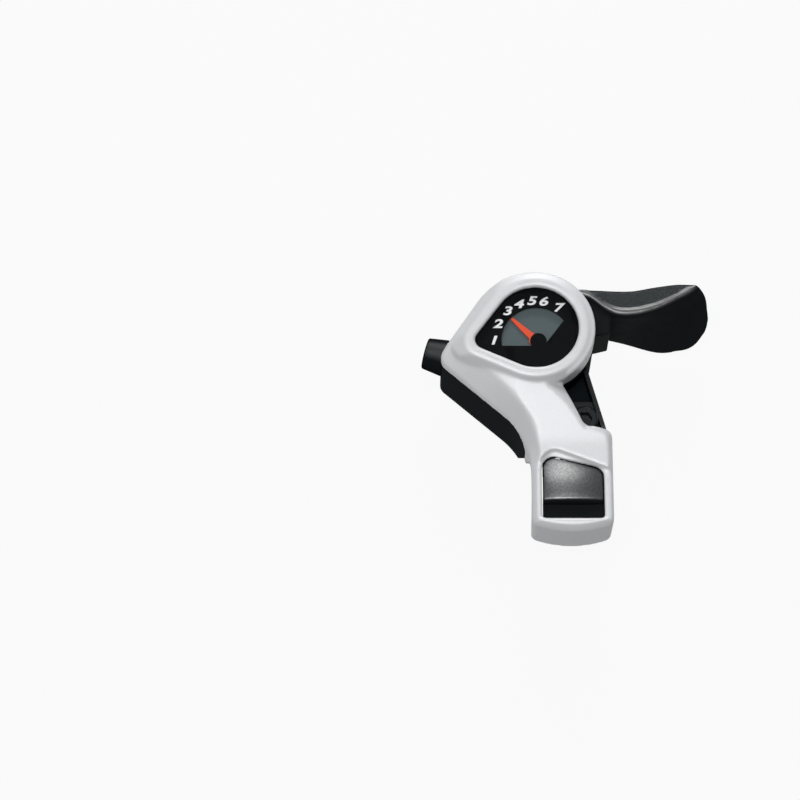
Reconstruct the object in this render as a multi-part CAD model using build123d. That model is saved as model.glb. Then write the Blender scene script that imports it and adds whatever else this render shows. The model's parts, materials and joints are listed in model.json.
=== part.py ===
from build123d import *
import os
from math import acos, atan2, cos, degrees, hypot, radians, sin, sqrt, tan

# Trigger gear shifter for a flat handlebar, right hand, in millimetres.
# The origin is the centre of the handlebar bore. +X runs along the bar towards the grip,
# +Y points forward, away from the rider, and +Z is the way the dial faces.

# Handlebar clamp
BAR_D = 22.2
CLAMP_CLEAR = 0.05
BAND_T = 1.6
BAND_W = 12.0
BAND_GAP = 4.4
EAR_W = 9.4
EAR_END = 4.7
BOLT_Y = 22.7
BOLT_R = 2.5
BOLT_HOLE_R = 2.75
BOLT_HEAD_R = 4.25
BOLT_HEAD_H = 5.0
BOLT_KEY = 4.0
BOLT_KEY_DEPTH = 2.8
BOLT_END = 0.7
NUT_SIDE = 8.0
NUT_H = 4.0

# Fits and walls
RUN_CLEAR = 0.05
FIT_CLEAR = 0.1
MOVE_CLEAR = 0.4
WALL = 2.0

# Levels, measured from the bar axis
BEZEL_Z = 22.0
NECK_Z = 21.3
FOOT_Z = 16.8
FOOT_REAR_Z = 16.4
FOOT_LOW_Z = -1.0
SPLIT_Z = 13.0
BASE_LOW_Z = -9.5
BASE_EDGE = 0.8
HEEL_Y = 16.6
HEEL_Z = 1.0
HEEL_X = -7.0
FLOOR_T = 1.5
CABLE_Z = 4.0

# Head of the cover, seen along the dial axis
HEAD_X = -15.5
HEAD_Y = 50.0
HEAD_R = 18.9
SHOULDER_R = 22.7
SHOULDER_DEG = 149.3
RING_W = 3.25
RING_EDGE = 0.35
BEVEL_IN = 4.6
BEVEL_DROP = 2.5
BEVEL_SOFT_R = 0.7
CROWN_TIP_R = 5.0
CORNER_X = -46.7
CORNER_Y = 40.7
CORNER_R = 3.5

# Neck and foot of the cover
FOOT_LEFT = -17.3
FOOT_RIGHT = 8.3
FOOT_REAR = -15.9
FOOT_REAR_R = 34.0
FOOT_CORNER_R = 2.6
FOOT_FRONT_Y = 17.6
WAIST_Y = 15.2
WAIST_R = 24.0
NOTCH_X = -0.6
NOTCH_Y = 18.9
NOTCH_R = 3.0
NOTCH_TOP_X = -7.0
NOTCH_TOP_Y = 32.3
SHOULDER_W = 6.2
SHOULDER_DROP = 5.4
SHOULDER_SOFT_R = 5.0
SOFT_LIFT_DEG = 5.0
CORNER_SPREAD = 3.0
FOOT_EDGE_W = 2.2
FOOT_EDGE_DROP = 2.8
FOOT_EDGE_SOFT_R = 1.2
NOTCH_EDGE_W = 4.6
CORNER_EDGE_W = 2.9
EDGE_PITCH = 0.8

# Slopes that widen along the notch: place along it and share of the full width
EDGE_SPREAD = ((-0.1, 0.08), (0.0, 0.12), (0.5, 0.4), (1.0, 1.0), (1.4, 1.6))
REAR_EDGE_W = 2.0
REAR_EDGE_DROP = 1.4
SLOPE_TOP_Y = 36.0
SLOPE_LOW_Y = 14.0
SLOPE_R = 25.0
SADDLE_DEPTH = 1.0
SADDLE_REAR = -12.0
SADDLE_R = 4.0

# Dial window: a large circle drawn out to a small one on the left
WINDOW_R = 13.55
TIP_X = -31.8
TIP_Y = 45.7
TIP_R = 3.0
LENS_SINK = 0.3
ROOF_T = 2.0
LENS_FLANGE = 1.4
LENS_FLANGE_T = 0.8
MASK_T = 0.5
TRAY_FLOOR_T = 1.2
TRAY_RIM_T = 1.0
TRAY_RIM_H = 1.0
DIAL_SCREW_R = 0.6
DIAL_SCREW_HEAD_R = 1.5
DIAL_SCREW_HEAD_H = 0.9
DIAL_SCREW_LEN = 2.2
DIAL_SCREW_DEG = (20.0, 105.0, 265.0)

# Scale opening in the dial mask, measured from the needle axis
SCALE_R = 11.1
SCALE_LOW = -2.1
SCALE_HUB_R = 2.6
SCALE_END_R = 11.1
SCALE_END_DEG = 37.0
SCALE_IN_X = 3.9

# Needle
NEEDLE_T = 0.5
NEEDLE_GAP = 0.25
NEEDLE_DEG = 136.0
NEEDLE_LEN = 10.9
NEEDLE_ROOT_W = 2.7
NEEDLE_TIP_W = 0.9
NEEDLE_HUB_R = 2.3
STEM_R = 1.5
SPIGOT_R = 0.9

# Main axle and what turns on it
AXLE_X = -15.3
AXLE_Y = 46.5
AXLE_R = 2.5
AXLE_THREAD_R = 2.0
PLATE_T = 1.5
PLATE_LIFT = 0.5
SPRING_ROOM = 2.6
BUSH_R = 4.0
LEVER_PLATE_T = 2.0
LEVER_HUB_R = 7.5
RATCHET_LIFT = 0.5
RATCHET_T = 2.0
TEETH = 18
TOOTH_TIP_R = 11.0
TOOTH_ROOT_R = 9.3
SPOOL_R = 10.0
SPOOL_H = 5.6
CABLE_R = 8.3
CABLE_D = 1.3
CABLE_END_R = 1.9
WASHER_T = 0.5
WASHER_R = 4.6
AXLE_NUT_H = 2.4
AXLE_NUT_W = 7.0
CARRIER_R = 8.0
CARRIER_T = 1.2

# Pawls, measured from the main axle
PAWL_R = 15.0
PAWL_PIN_R = 1.25
PAWL_EYE_R = 2.8
PAWL_BITE = 0.4
PAWL_LIFT = 0.45
PAWL_SLACK_DEG = 2.6
PAWL_T = 1.8
DRIVE_PIVOT_DEG = 105.0
DRIVE_TOOTH_DEG = 140.0
HOLD_PIVOT_DEG = 205.0
HOLD_TOOTH_DEG = 240.0
PIN_HEAD_R = 2.2
PIN_HEAD_H = 0.6
LEAF_T = 0.35
LEAF_W = 3.0

# Thumb lever
LEVER_ROOT_R = 12.6
LEVER_ROOT_END = 8.8
LEVER_ROOT_FRONT = 66.2
LEVER_ROOT_FROM = 14.0
LEVER_ROOT_TO = 57.0
LEVER_ROOT_LOW = -7.0
LEVER_ROOT_TOP = 9.6
LEVER_WALL = 2.8
LEVER_RIM_R = 0.8
LEVER_EDGE_R = 0.8
LEVER_ARM_FROM = 24.0
LEVER_ARM_TO = 46.0
LEVER_ARM_R = 20.0
LEVER_TRAVEL = 40.0
SLOT_MARGIN = 6.0
RIVET_R = 1.2
RIVET_HEAD_R = 2.0
RIVET_HEAD_H = 0.6
RIVET_RISE = 3.2
RIVET_AT_R = 16.5
COIL_R = 5.6
COIL_WIRE = 0.8
COIL_PITCH = 1.0
COIL_TURNS = 1.75
HOOK_R = 0.8
HOOK_GAP = 0.3
HOOK_DEG = 195.0
POST_R = 0.9
POST_DEG = 318.0

# Thumb paddle: sections across the lever, each with its place as a part of the reach and the places
# along Y of the brow, the hollow of the thumb face and the toe, then its outline from behind and from above
LEVER_REACH = 42.2
LEVER_FLANGE_Z = 10.5
LEVER_BEAD_W = 3.4
LEVER_BEAD_H = 0.55
LEVER_BROW_DROP = 0.9
LEVER_DISH_Z = 2.0
LEVER_TOE_Z = -14.0
LEVER_BLADE_X = -1.5
LEVER_STATIONS = (
    (-0.071, 64.6, 61.0, 56.1),
    (0.059, 63.2, 60.0, 55.7),
    (0.154, 60.0, 58.4, 55.3),
    (0.246, 57.9, 57.2, 54.6),
    (0.341, 57.4, 56.9, 53.6),
    (0.474, 58.2, 57.0, 51.5),
    (0.628, 60.5, 57.7, 49.3),
    (0.735, 62.9, 59.2, 48.6),
    (0.853, 67.0, 61.8, 48.5),
    (1.030, 72.5, 64.5, 49.4),
)
LEVER_REAR_VIEW = (
    (0.785, 12.8),
    (0.895, 11.4),
    (0.968, 8.8),
    (0.997, 5.4),
    (1.000, 1.6),
    (0.982, -2.4),
    (0.920, -5.8),
    (0.810, -8.3),
    (0.670, -9.5),
    (0.510, -9.6),
    (0.360, -8.8),
    (0.255, -7.9),
    (0.142, LEVER_ROOT_LOW),
)
LEVER_FRONT_VIEW = (
    (-0.071, 66.9),
    (0.213, 66.8),
    (0.403, 66.9),
    (0.517, 67.8),
    (0.633, 68.6),
    (0.730, 69.1),
    (0.830, 68.9),
    (0.918, 67.3),
    (0.975, 63.8),
    (1.008, 57.0),
)

# Release button
BUTTON_GAP = 0.55
BUTTON_WALL = 2.2
BUTTON_FRONT_Z = 17.6
BUTTON_DISH_Y = 0.5
BUTTON_DISH_Z = 16.3
BUTTON_DISH_R = 40.0
BUTTON_REAR_Z = 16.2
BUTTON_STEP_Y = -6.2
BUTTON_BROW_R = 1.6
BUTTON_SHELF_Z = 13.4
BUTTON_SHELF_T = 1.2
BUTTON_SKIRT_Z = 13.4
BUTTON_HOLLOW = 1.2
BUTTON_CROWN_R = 42.0
BUTTON_CROWN_DEG = 25.0
BUTTON_RIM_R = 0.6
HINGE_Y = -11.0
HINGE_Z = 11.0
HINGE_PIN_R = 1.0
HINGE_EYE_R = 1.8
HINGE_EYE_W = 10.0
OPENING_LEFT = -14.0
OPENING_RIGHT = 5.3
OPENING_REAR = -11.6
OPENING_FRONT_L = 9.2
OPENING_FRONT_R = 4.6
OPENING_R = 3.6
ARM_X = -11.8
ARM_W = 4.0
ARM_T = 1.2
ARM_TIP_Y = 33.0

# Mounting bracket
STRIP_REAR_X = 7.0
STRIP_REAR_Y = 19.0
STRIP_FRONT_X = 0.5
STRIP_FRONT_Y = 42.4
STRIP_T = 1.4
STRIP_TOP_Z = 10.0
STRIP_LOW_Z = 4.2
STRIP_FOOT = 10.0
TAB_LEFT = -5.0
TAB_REAR = 17.6
TAB_FRONT = 30.0
DECK_T = 1.6
PLATE_R = 11.0
PLATE_ARM_W = 9.0

# Cable adjuster
BARREL_DEG = 164.5
BARREL_START = 24.0
BARREL_LEN = 10.2
BARREL_R = 5.9
BARREL_END_R = 5.0
BARREL_COLLAR = 4.0
BARREL_EDGE_R = 0.7
SHANK_R = 3.0
SHANK_LEN = 8.0
CASING_R = 2.6
CASING_DEPTH = 6.0
INNER_R = 1.2

# Screws that close the housing from below
SCREW_R = 1.3
SCREW_HEAD_R = 2.4
SCREW_HEAD_H = 1.8
SCREW_BITE = 2.6
SCREW_PLACES = ((-33.5, 35.2), (-34.2, 51.6), (-20.6, 27.2))
PLATE_SCREW_LEN = 2.4
PLATE_SCREW_HEAD_H = 1.0
PLATE_SCREW_DEG = (170.0, 258.0)
PLATE_SCREW_AT_R = 8.6

# Reach of cutting shapes, well past the part
FAR = 200.0

# A round solid that stands on its plane
STANDING = (Align.CENTER, Align.CENTER, Align.MIN)

# Sizes that follow from those above
BAR_R = BAR_D / 2
BAND_IN_R = BAR_R + CLAMP_CLEAR
BAND_OUT_R = BAND_IN_R + BAND_T
EAR_TOP_Z = BAND_GAP / 2 + BAND_T
DECK_Z = EAR_TOP_Z + DECK_T
TAB_TOP_Z = DECK_Z + STRIP_T
FLOOR_Z = BASE_LOW_Z + FLOOR_T
PLATE_Z = FLOOR_Z + PLATE_LIFT
PLATE_TOP_Z = PLATE_Z + PLATE_T
LEVER_Z = PLATE_TOP_Z + SPRING_ROOM
LEVER_TOP_Z = LEVER_Z + LEVER_PLATE_T
RATCHET_Z = LEVER_TOP_Z + RATCHET_LIFT
SPOOL_Z = RATCHET_Z + RATCHET_T
SPOOL_TOP_Z = SPOOL_Z + SPOOL_H
NUT_Z = SPOOL_TOP_Z + FIT_CLEAR + WASHER_T
NUT_TOP_Z = NUT_Z + AXLE_NUT_H
CARRIER_ROOF_Z = NUT_TOP_Z + MOVE_CLEAR
ROOF_Z = BEZEL_Z - ROOF_T
MASK_Z = ROOF_Z - LENS_FLANGE_T - MASK_T
TRAY_TOP_Z = MASK_Z - TRAY_RIM_H
TRAY_Z = TRAY_TOP_Z - TRAY_FLOOR_T
NEEDLE_Z = TRAY_TOP_Z + NEEDLE_GAP
HEAD = (HEAD_X, HEAD_Y)
TIP = (TIP_X, TIP_Y)
AXLE = (AXLE_X, AXLE_Y)
FOOT_MID = (FOOT_LEFT + FOOT_RIGHT) / 2
CAVITY_R = HEAD_R - WALL
REAR_FACE = BAND_OUT_R + 0.65


def polar(centre, radius, angle):
    """Point at a radius and an angle in degrees round a centre."""
    return (centre[0] + radius * cos(radians(angle)), centre[1] + radius * sin(radians(angle)))


def disc(centre, radius):
    """Flat circle at a point."""
    return Pos(centre[0], centre[1]) * Circle(radius)


def prism(sketch, low, high):
    """Upright solid over a flat outline."""
    return Pos(0, 0, low) * extrude(sketch, high - low)


def drum(centre, radius, low, high):
    """Upright round solid."""
    return prism(disc(centre, radius), low, high)


def tube(centre, outer, inner, low, high):
    """Upright round solid with a hole."""
    return drum(centre, outer, low, high) - drum(centre, inner, low, high)


def area(*points):
    """Flat polygon."""
    return make_face(Polyline(*points, close=True))


def rounded(points, radii):
    """Flat polygon with its corners rounded."""
    return make_face(FilletPolyline(*points, radius=list(radii), close=True))


def sector(centre, inner, outer, start, stop):
    """Flat slice of a ring between two angles."""
    far = CenterArc(centre, outer, start, stop - start)
    near = CenterArc(centre, inner, start, stop - start)
    sides = [Line(near @ 0, far @ 0), Line(far @ 1, near @ 1)]
    return make_face([far, near] + sides)


def hull(*discs):
    """Outline stretched round several circles."""
    edges = []
    for circle in discs:
        edges += circle.edges()
    return make_hull(edges)


def side_prism(sketch, half_width):
    """Solid along X over an outline drawn in Y and Z."""
    return extrude(Plane.YZ * sketch, half_width, both=True)


def facet_cutter(stations):
    """Wedge that planes a slope along an outline.

    Each station gives a point on the outline, the inward direction in degrees, the width of the slope,
    and its heights at the outline and at its inner edge.
    """
    sections = []
    for point, inward, width, low, high in stations:
        rise = (high - low) / width
        outer = polar(point, -2.0, inward)
        inner = polar(point, width + 3.0, inward)
        corner_low = (*outer, low - 2.0 * rise)
        corner_in = (*inner, high + 3.0 * rise)
        corner_top = (*outer, BEZEL_Z + 12.0)
        sections.append(make_face(Polyline(corner_low, corner_in, corner_top, close=True)))
    return loft(sections)


def neck_level(y):
    """Height of the cover's top where it slopes from the dial to the foot."""
    part = (y - SLOPE_LOW_Y) / (SLOPE_TOP_Y - SLOPE_LOW_Y)
    return FOOT_Z + (NECK_Z - FOOT_Z) * min(max(part, 0.0), 1.0)


def top_station(point, inward, width, drop):
    """Station of a slope whose inner edge lies in the cover's top."""
    high = neck_level(polar(point, width, inward)[1])
    return point, inward, width, high - drop, high


# Outlines shared by the cover and the lower housing

def head_outline():
    """Round head with its fuller left shoulder."""
    shoulder_centre = (HEAD_X, HEAD_Y + HEAD_R - SHOULDER_R)
    left_half = Pos(HEAD_X - SHOULDER_R, HEAD_Y) * Rectangle(2 * SHOULDER_R, 4 * SHOULDER_R)
    return disc(HEAD, HEAD_R) + (disc(shoulder_centre, SHOULDER_R) & left_half)


def shoulder_point():
    """Where the left shoulder runs straight."""
    return polar((HEAD_X, HEAD_Y + HEAD_R - SHOULDER_R), SHOULDER_R, SHOULDER_DEG)


def cover_outline():
    """Whole cover from above: head, neck and foot."""
    beyond = FOOT_REAR - 8.0
    arm = rounded(
        [
            HEAD,
            shoulder_point(),
            (CORNER_X, CORNER_Y),
            (FOOT_LEFT, WAIST_Y),
            (FOOT_LEFT, beyond),
            (FOOT_RIGHT, beyond),
            (FOOT_RIGHT, FOOT_FRONT_Y),
            (NOTCH_X, NOTCH_Y),
            (NOTCH_TOP_X, NOTCH_TOP_Y),
        ],
        [0, 0, CORNER_R, WAIST_R, 0, 0, NOTCH_R, NOTCH_R, 0],
    )
    behind = Pos(FOOT_MID, beyond) * Rectangle(FAR, -2 * beyond)
    rear_bow = disc((FOOT_MID, FOOT_REAR + FOOT_REAR_R), FOOT_REAR_R)
    arm = arm - (behind - rear_bow)
    rear_corners = arm.vertices().filter_by(lambda v: v.Y < FOOT_REAR / 2)
    return fillet(rear_corners, FOOT_CORNER_R) + head_outline()


def rim_angles():
    """Directions square to the two straight sides of the dial window, top one first."""
    angle = degrees(atan2(TIP_Y - HEAD_Y, TIP_X - HEAD_X)) % 360
    spread = degrees(acos((WINDOW_R - TIP_R) / hypot(TIP_X - HEAD_X, TIP_Y - HEAD_Y)))
    return angle - spread, angle + spread


def drop_outline(crown, tip, belly, top_deg, low_deg):
    """Drop-shaped outline from three circles and the two straight sides between them.

    Each circle is a centre and a radius. The same five edges in the same order make lofts pair up.
    """
    edges = [
        CenterArc(*crown, 90, top_deg - 90),
        Line(polar(*crown, top_deg), polar(*tip, top_deg)),
        CenterArc(*tip, top_deg, low_deg - top_deg),
        Line(polar(*tip, low_deg), polar(*belly, low_deg)),
        CenterArc(*belly, low_deg, 450 - low_deg),
    ]
    return make_face(edges)


def crown_outline():
    """Raised dial rim: the head drawn out to the left above the adjuster."""
    low_deg = rim_angles()[1]
    crown = ((HEAD_X, HEAD_Y + HEAD_R - SHOULDER_R), SHOULDER_R)
    top_point = polar(*crown, SHOULDER_DEG)
    low_point = polar(HEAD, HEAD_R, low_deg)
    top_way = (cos(radians(SHOULDER_DEG)), sin(radians(SHOULDER_DEG)))
    low_way = (cos(radians(low_deg)), sin(radians(low_deg)))
    top_off = top_point[0] * top_way[0] + top_point[1] * top_way[1] - CROWN_TIP_R
    low_off = low_point[0] * low_way[0] + low_point[1] * low_way[1] - CROWN_TIP_R
    cross = top_way[0] * low_way[1] - top_way[1] * low_way[0]
    centre_x = (top_off * low_way[1] - low_off * top_way[1]) / cross
    centre_y = (top_way[0] * low_off - low_way[0] * top_off) / cross
    return drop_outline(crown, ((centre_x, centre_y), CROWN_TIP_R), (HEAD, HEAD_R), SHOULDER_DEG, low_deg)


def window_outline(margin):
    """Dial window, drawn out to the left, grown by a margin."""
    top_deg, low_deg = rim_angles()
    belly = (HEAD, WINDOW_R + margin)
    return drop_outline(belly, (TIP, TIP_R + margin), belly, top_deg, low_deg)


def split_profile(above):
    """Side view of the parting line, as the region above it or below it."""
    curve = TangentArc((SLOPE_LOW_Y + 8.0, SPLIT_Z), (REAR_FACE, SPLIT_Z - 7.5), tangent=(-1, 0))
    front = Line((90, SPLIT_Z), curve @ 0)
    drop = Line(curve @ 1, (REAR_FACE, -40))
    if above:
        rest = Polyline((REAR_FACE, -40), (-60, -40), (-60, 60), (90, 60), (90, SPLIT_Z))
    else:
        rest = Polyline((REAR_FACE, -40), (90, -40), (90, SPLIT_Z))
    return make_face([front, curve, drop, *rest.edges()])


# Moulded top cover

def cover_top_profile():
    """Side view of the cover: level under the dial, sloping neck, level foot."""
    points = [
        (90, NECK_Z),
        (SLOPE_TOP_Y, NECK_Z),
        (SLOPE_LOW_Y, FOOT_Z),
        (FOOT_REAR - 4, FOOT_REAR_Z),
        (FOOT_REAR - 4, FOOT_LOW_Z),
        (90, FOOT_LOW_Z),
    ]
    return rounded(points, [0, SLOPE_R, SLOPE_R, 0, 0, 0])


def button_opening(margin):
    """Outline of the button's opening, grown by a margin."""
    points = [
        (OPENING_LEFT - margin, OPENING_REAR - margin),
        (OPENING_LEFT - margin, OPENING_FRONT_L + margin),
        (OPENING_RIGHT + margin, OPENING_FRONT_R + margin),
        (OPENING_RIGHT + margin, OPENING_REAR - margin),
    ]
    return rounded(points, [0.8, OPENING_R + margin, OPENING_R + margin, 0.8])


def saddle_area():
    """Shallow dip across the foot that the button sits in."""
    points = [
        (FOOT_LEFT - 4, SADDLE_REAR),
        (FOOT_LEFT - 4, OPENING_FRONT_L - 9.0),
        (OPENING_LEFT + 3.0, OPENING_FRONT_L + 2.0),
        (FOOT_RIGHT + 4, OPENING_FRONT_R - 2.2),
        (FOOT_RIGHT + 4, SADDLE_REAR),
    ]
    return rounded(points, [0, 0, SADDLE_R, 0, 0])


def soft_cutter(stations):
    """Wedge like that of facet_cutter, whose slope rolls over into the cover's top.

    Each station also gives the radius of the roll.
    """
    sections = []
    for point, inward, width, low, high, radius in stations:
        slope = atan2(high - low, width)
        climb = (NECK_Z - FOOT_Z) * sin(radians(inward))
        tail = atan2(climb, SLOPE_TOP_Y - SLOPE_LOW_Y) + radians(SOFT_LIFT_DEG)
        half = (slope - tail) / 2
        reach = radius * tan(half)
        sag = radius / cos(half) - radius
        top = BEZEL_Z + 12.0
        flat = [
            (-2.0, low - 2.0 * tan(slope)),
            (width - reach * cos(slope), high - reach * sin(slope)),
            (width + sag * sin(slope - half), high - sag * cos(slope - half)),
            (width + reach * cos(tail), high + reach * sin(tail)),
            (width + (reach + 3.0) * cos(tail), high + (reach + 3.0) * sin(tail)),
            (width + (reach + 3.0) * cos(tail), top),
            (-2.0, top),
        ]
        start, foot, roll, brow, end, end_top, start_top = [(*polar(point, d, inward), z) for d, z in flat]
        edges = [
            Line(start, foot),
            ThreePointArc(foot, roll, brow),
            Line(brow, end),
            Line(end, end_top),
            Line(end_top, start_top),
            Line(start_top, start),
        ]
        sections.append(make_face(edges))
    return loft(sections)


def shoulder_cutters():
    """Slopes along the cover's left side: straight shoulder, curved waist, foot."""
    run_deg = degrees(atan2(WAIST_Y - CORNER_Y, FOOT_LEFT - CORNER_X))
    turn = 90 + run_deg
    waist_end = WAIST_Y - WAIST_R * tan(radians(turn / 2))
    centre = (FOOT_LEFT - WAIST_R, waist_end)
    waist = []
    for part in (0.0, 0.25, 0.5, 0.75, 1.0):
        angle = turn * (1 - part)
        width = SHOULDER_W + (FOOT_EDGE_W - SHOULDER_W) * part
        drop = SHOULDER_DROP + (FOOT_EDGE_DROP - SHOULDER_DROP) * part
        radius = SHOULDER_SOFT_R + (FOOT_EDGE_SOFT_R - SHOULDER_SOFT_R) * part
        waist.append((*top_station(polar(centre, WAIST_R, angle), angle, width, drop), radius))
    start = polar((CORNER_X, CORNER_Y), -7.0, run_deg)
    corner_w = SHOULDER_W + CORNER_SPREAD
    straight = [(*top_station(start, turn, corner_w, SHOULDER_DROP - 1.2), SHOULDER_SOFT_R), waist[0]]
    rear = (FOOT_LEFT, FOOT_REAR - 6.0)
    foot = [waist[-1], (*top_station(rear, 0, FOOT_EDGE_W, FOOT_EDGE_DROP), FOOT_EDGE_SOFT_R)]
    return [soft_cutter(straight), soft_cutter(waist), soft_cutter(foot)]


def rear_edge_cutter():
    """Slope along the bowed rear edge of the foot."""
    centre = (FOOT_MID, FOOT_REAR + FOOT_REAR_R)
    bow = []
    for angle in (240, 255, 270, 285, 300):
        point = polar(centre, FOOT_REAR_R, angle)
        bow.append((point, angle + 180, REAR_EDGE_W, FOOT_REAR_Z - REAR_EDGE_DROP, FOOT_REAR_Z))
    return facet_cutter(bow)


def cover_outside():
    """Outer form of the cover, before it is hollowed."""
    arm = prism(cover_outline(), FOOT_LOW_Z, BEZEL_Z) & side_prism(cover_top_profile(), FAR)
    top_run = SHOULDER_DEG + 90
    edge_low = BEZEL_Z - BEVEL_DROP
    shoulder_top = shoulder_point()
    left_edge = facet_cutter(
        [
            (polar(shoulder_top, -30.0, top_run), SHOULDER_DEG + 180, BEVEL_IN, edge_low, BEZEL_Z),
            (polar(shoulder_top, 40.0, top_run), SHOULDER_DEG + 180, BEVEL_IN, edge_low, BEZEL_Z),
        ]
    )
    notch_run = degrees(atan2(NOTCH_TOP_Y - NOTCH_Y, NOTCH_TOP_X - NOTCH_X))
    notch_len = hypot(NOTCH_TOP_Y - NOTCH_Y, NOTCH_TOP_X - NOTCH_X)
    front_run = degrees(atan2(FOOT_FRONT_Y - NOTCH_Y, FOOT_RIGHT - NOTCH_X))
    front_len = hypot(FOOT_FRONT_Y - NOTCH_Y, FOOT_RIGHT - NOTCH_X)
    notch_edge = []
    corner_cut = []
    for part, share in EDGE_SPREAD:
        up = polar((NOTCH_X, NOTCH_Y), part * notch_len, notch_run)
        width = NOTCH_EDGE_W * share
        notch_edge.append(top_station(up, notch_run + 90, width, EDGE_PITCH * width))
        across = polar((NOTCH_X, NOTCH_Y), part * front_len, front_run)
        width = CORNER_EDGE_W * share
        corner_cut.append(top_station(across, front_run - 90, width, EDGE_PITCH * width))
    right_edge = facet_cutter(
        [
            ((FOOT_RIGHT, FOOT_FRONT_Y + 6), 180, 1.2, FOOT_Z - 1.8, FOOT_Z),
            ((FOOT_RIGHT, FOOT_REAR - 6), 180, 1.2, FOOT_REAR_Z - 1.8, FOOT_REAR_Z),
        ]
    )
    arm = arm - left_edge - right_edge - facet_cutter(notch_edge) - facet_cutter(corner_cut)
    for cutter in (rear_edge_cutter(), *shoulder_cutters()):
        arm = arm - cutter
    arm = arm - prism(saddle_area(), FOOT_Z - SADDLE_DEPTH, BEZEL_Z)
    skirt_low = Pos(0, 0, edge_low) * crown_outline()
    skirt = loft([skirt_low, Pos(0, 0, BEZEL_Z) * window_outline(RING_W)], ruled=True)
    crown = prism(crown_outline(), SPLIT_Z, edge_low) + skirt
    level = crown.edges().filter_by(lambda e: e.bounding_box().size.Z < 0.01)
    creases = level.filter_by(lambda e: e.center().Z > edge_low - 0.01)
    return arm + fillet(creases, BEVEL_SOFT_R)


def foot_room():
    """Space inside the foot for the clamp band and the button."""
    side = WALL
    inner_bow = disc((FOOT_MID, FOOT_REAR + FOOT_REAR_R), FOOT_REAR_R - side - 0.3)
    width = FOOT_RIGHT - FOOT_LEFT - 2 * side
    plan = Pos(FOOT_MID, 0) * Rectangle(width, 2 * REAR_FACE) & inner_bow
    return prism(plan, FOOT_LOW_Z - 1, FOOT_Z - SADDLE_DEPTH - 1.3)


def arm_channel(low, high, margin):
    """Passage along the neck for the release arm."""
    length = ARM_TIP_Y + 2.0 - HINGE_Y
    plan = Pos(ARM_X, HINGE_Y + length / 2) * Rectangle(ARM_W + 2 * margin, length)
    return prism(plan, low, high)


def dial_screw_places():
    """Centres of the small screws that hold the dial tray."""
    reach = WINDOW_R + LENS_FLANGE + FIT_CLEAR + DIAL_SCREW_R + 0.2
    return [polar(HEAD, reach, angle) for angle in DIAL_SCREW_DEG]


def make_top_cover():
    """Hollow silver cover with dial window, button opening and bar arches."""
    body = cover_outside() & side_prism(split_profile(True), FAR)
    room = drum(HEAD, CAVITY_R, SPLIT_Z - 1, TRAY_Z)
    for place in SCREW_PLACES:
        room = room - drum(place, SCREW_HEAD_R + 0.6, SPLIT_Z - 1, TRAY_Z)
    body = body - room - foot_room()
    body = body - prism(window_outline(LENS_FLANGE + FIT_CLEAR), TRAY_Z - 1, ROOF_Z)
    body = body - prism(window_outline(0), TRAY_Z - 1, BEZEL_Z + 1)
    lip_low = Pos(0, 0, BEZEL_Z - RING_EDGE) * window_outline(0)
    body = body - loft([lip_low, Pos(0, 0, BEZEL_Z) * window_outline(RING_EDGE)], ruled=True)
    body = body - prism(button_opening(0), HINGE_Z, BEZEL_Z)
    body = body - arm_channel(SPLIT_Z - 9, SPLIT_Z + 2.0, MOVE_CLEAR)
    body = body - Rot(0, 90, 0) * Cylinder(BAR_R + 0.6, 120)
    body = body - Rot(0, 90, 0) * Cylinder(BAND_OUT_R + MOVE_CLEAR, BAND_W + 2 * MOVE_CLEAR)
    for place in SCREW_PLACES:
        body = body - drum(place, SCREW_R, SPLIT_Z - 2, SPLIT_Z + SCREW_BITE)
    for place in dial_screw_places():
        body = body - drum(place, DIAL_SCREW_HEAD_R + FIT_CLEAR, SPLIT_Z - 1, TRAY_Z)
        body = body - drum(place, DIAL_SCREW_R, TRAY_Z - 1, TRAY_Z + DIAL_SCREW_LEN)
    return body - hinge_rod(HINGE_PIN_R)


# Lower housing

def strip_place():
    """Frame of the bracket's upright strip: X along it, Y out to the right."""
    run = degrees(atan2(STRIP_FRONT_Y - STRIP_REAR_Y, STRIP_FRONT_X - STRIP_REAR_X))
    return Location((STRIP_REAR_X, STRIP_REAR_Y, 0), (0, 0, run))


def strip_length():
    """Length of the upright strip."""
    return hypot(STRIP_FRONT_X - STRIP_REAR_X, STRIP_FRONT_Y - STRIP_REAR_Y)


def notch_area(margin):
    """Deck beside the neck, inside the upright strip."""
    length = strip_length()
    inner = strip_place() * Pos(length / 2, STRIP_T + margin + 15) * Rectangle(length + 16, 30)
    depth = HEAD_Y - 6 - REAR_FACE
    window = Pos(NOTCH_TOP_X - 2 + 15, REAR_FACE + depth / 2) * Rectangle(30, depth)
    return inner & window


def barrel_frame(distance):
    """Frame on the cable line, with Z pointing out along the adjuster."""
    side = polar(AXLE, CABLE_R, BARREL_DEG + 90)
    start = polar(side, distance, BARREL_DEG)
    way = (cos(radians(BARREL_DEG)), sin(radians(BARREL_DEG)), 0)
    return Plane(origin=(*start, CABLE_Z), x_dir=(0, 0, 1), z_dir=way)


def along_barrel(radius, start, length):
    """Round solid on the cable line."""
    return barrel_frame(start) * Cylinder(radius, length, align=STANDING)


def pawl_pivot(angle):
    """Centre of a pawl's pin."""
    return polar(AXLE, PAWL_R, angle)


def hold_bay():
    """Room for the holding pawl beside the winder."""
    return hull(disc(pawl_pivot(HOLD_PIVOT_DEG), PAWL_EYE_R + 1.6), disc(AXLE, TOOTH_TIP_R + 1.2))


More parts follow.
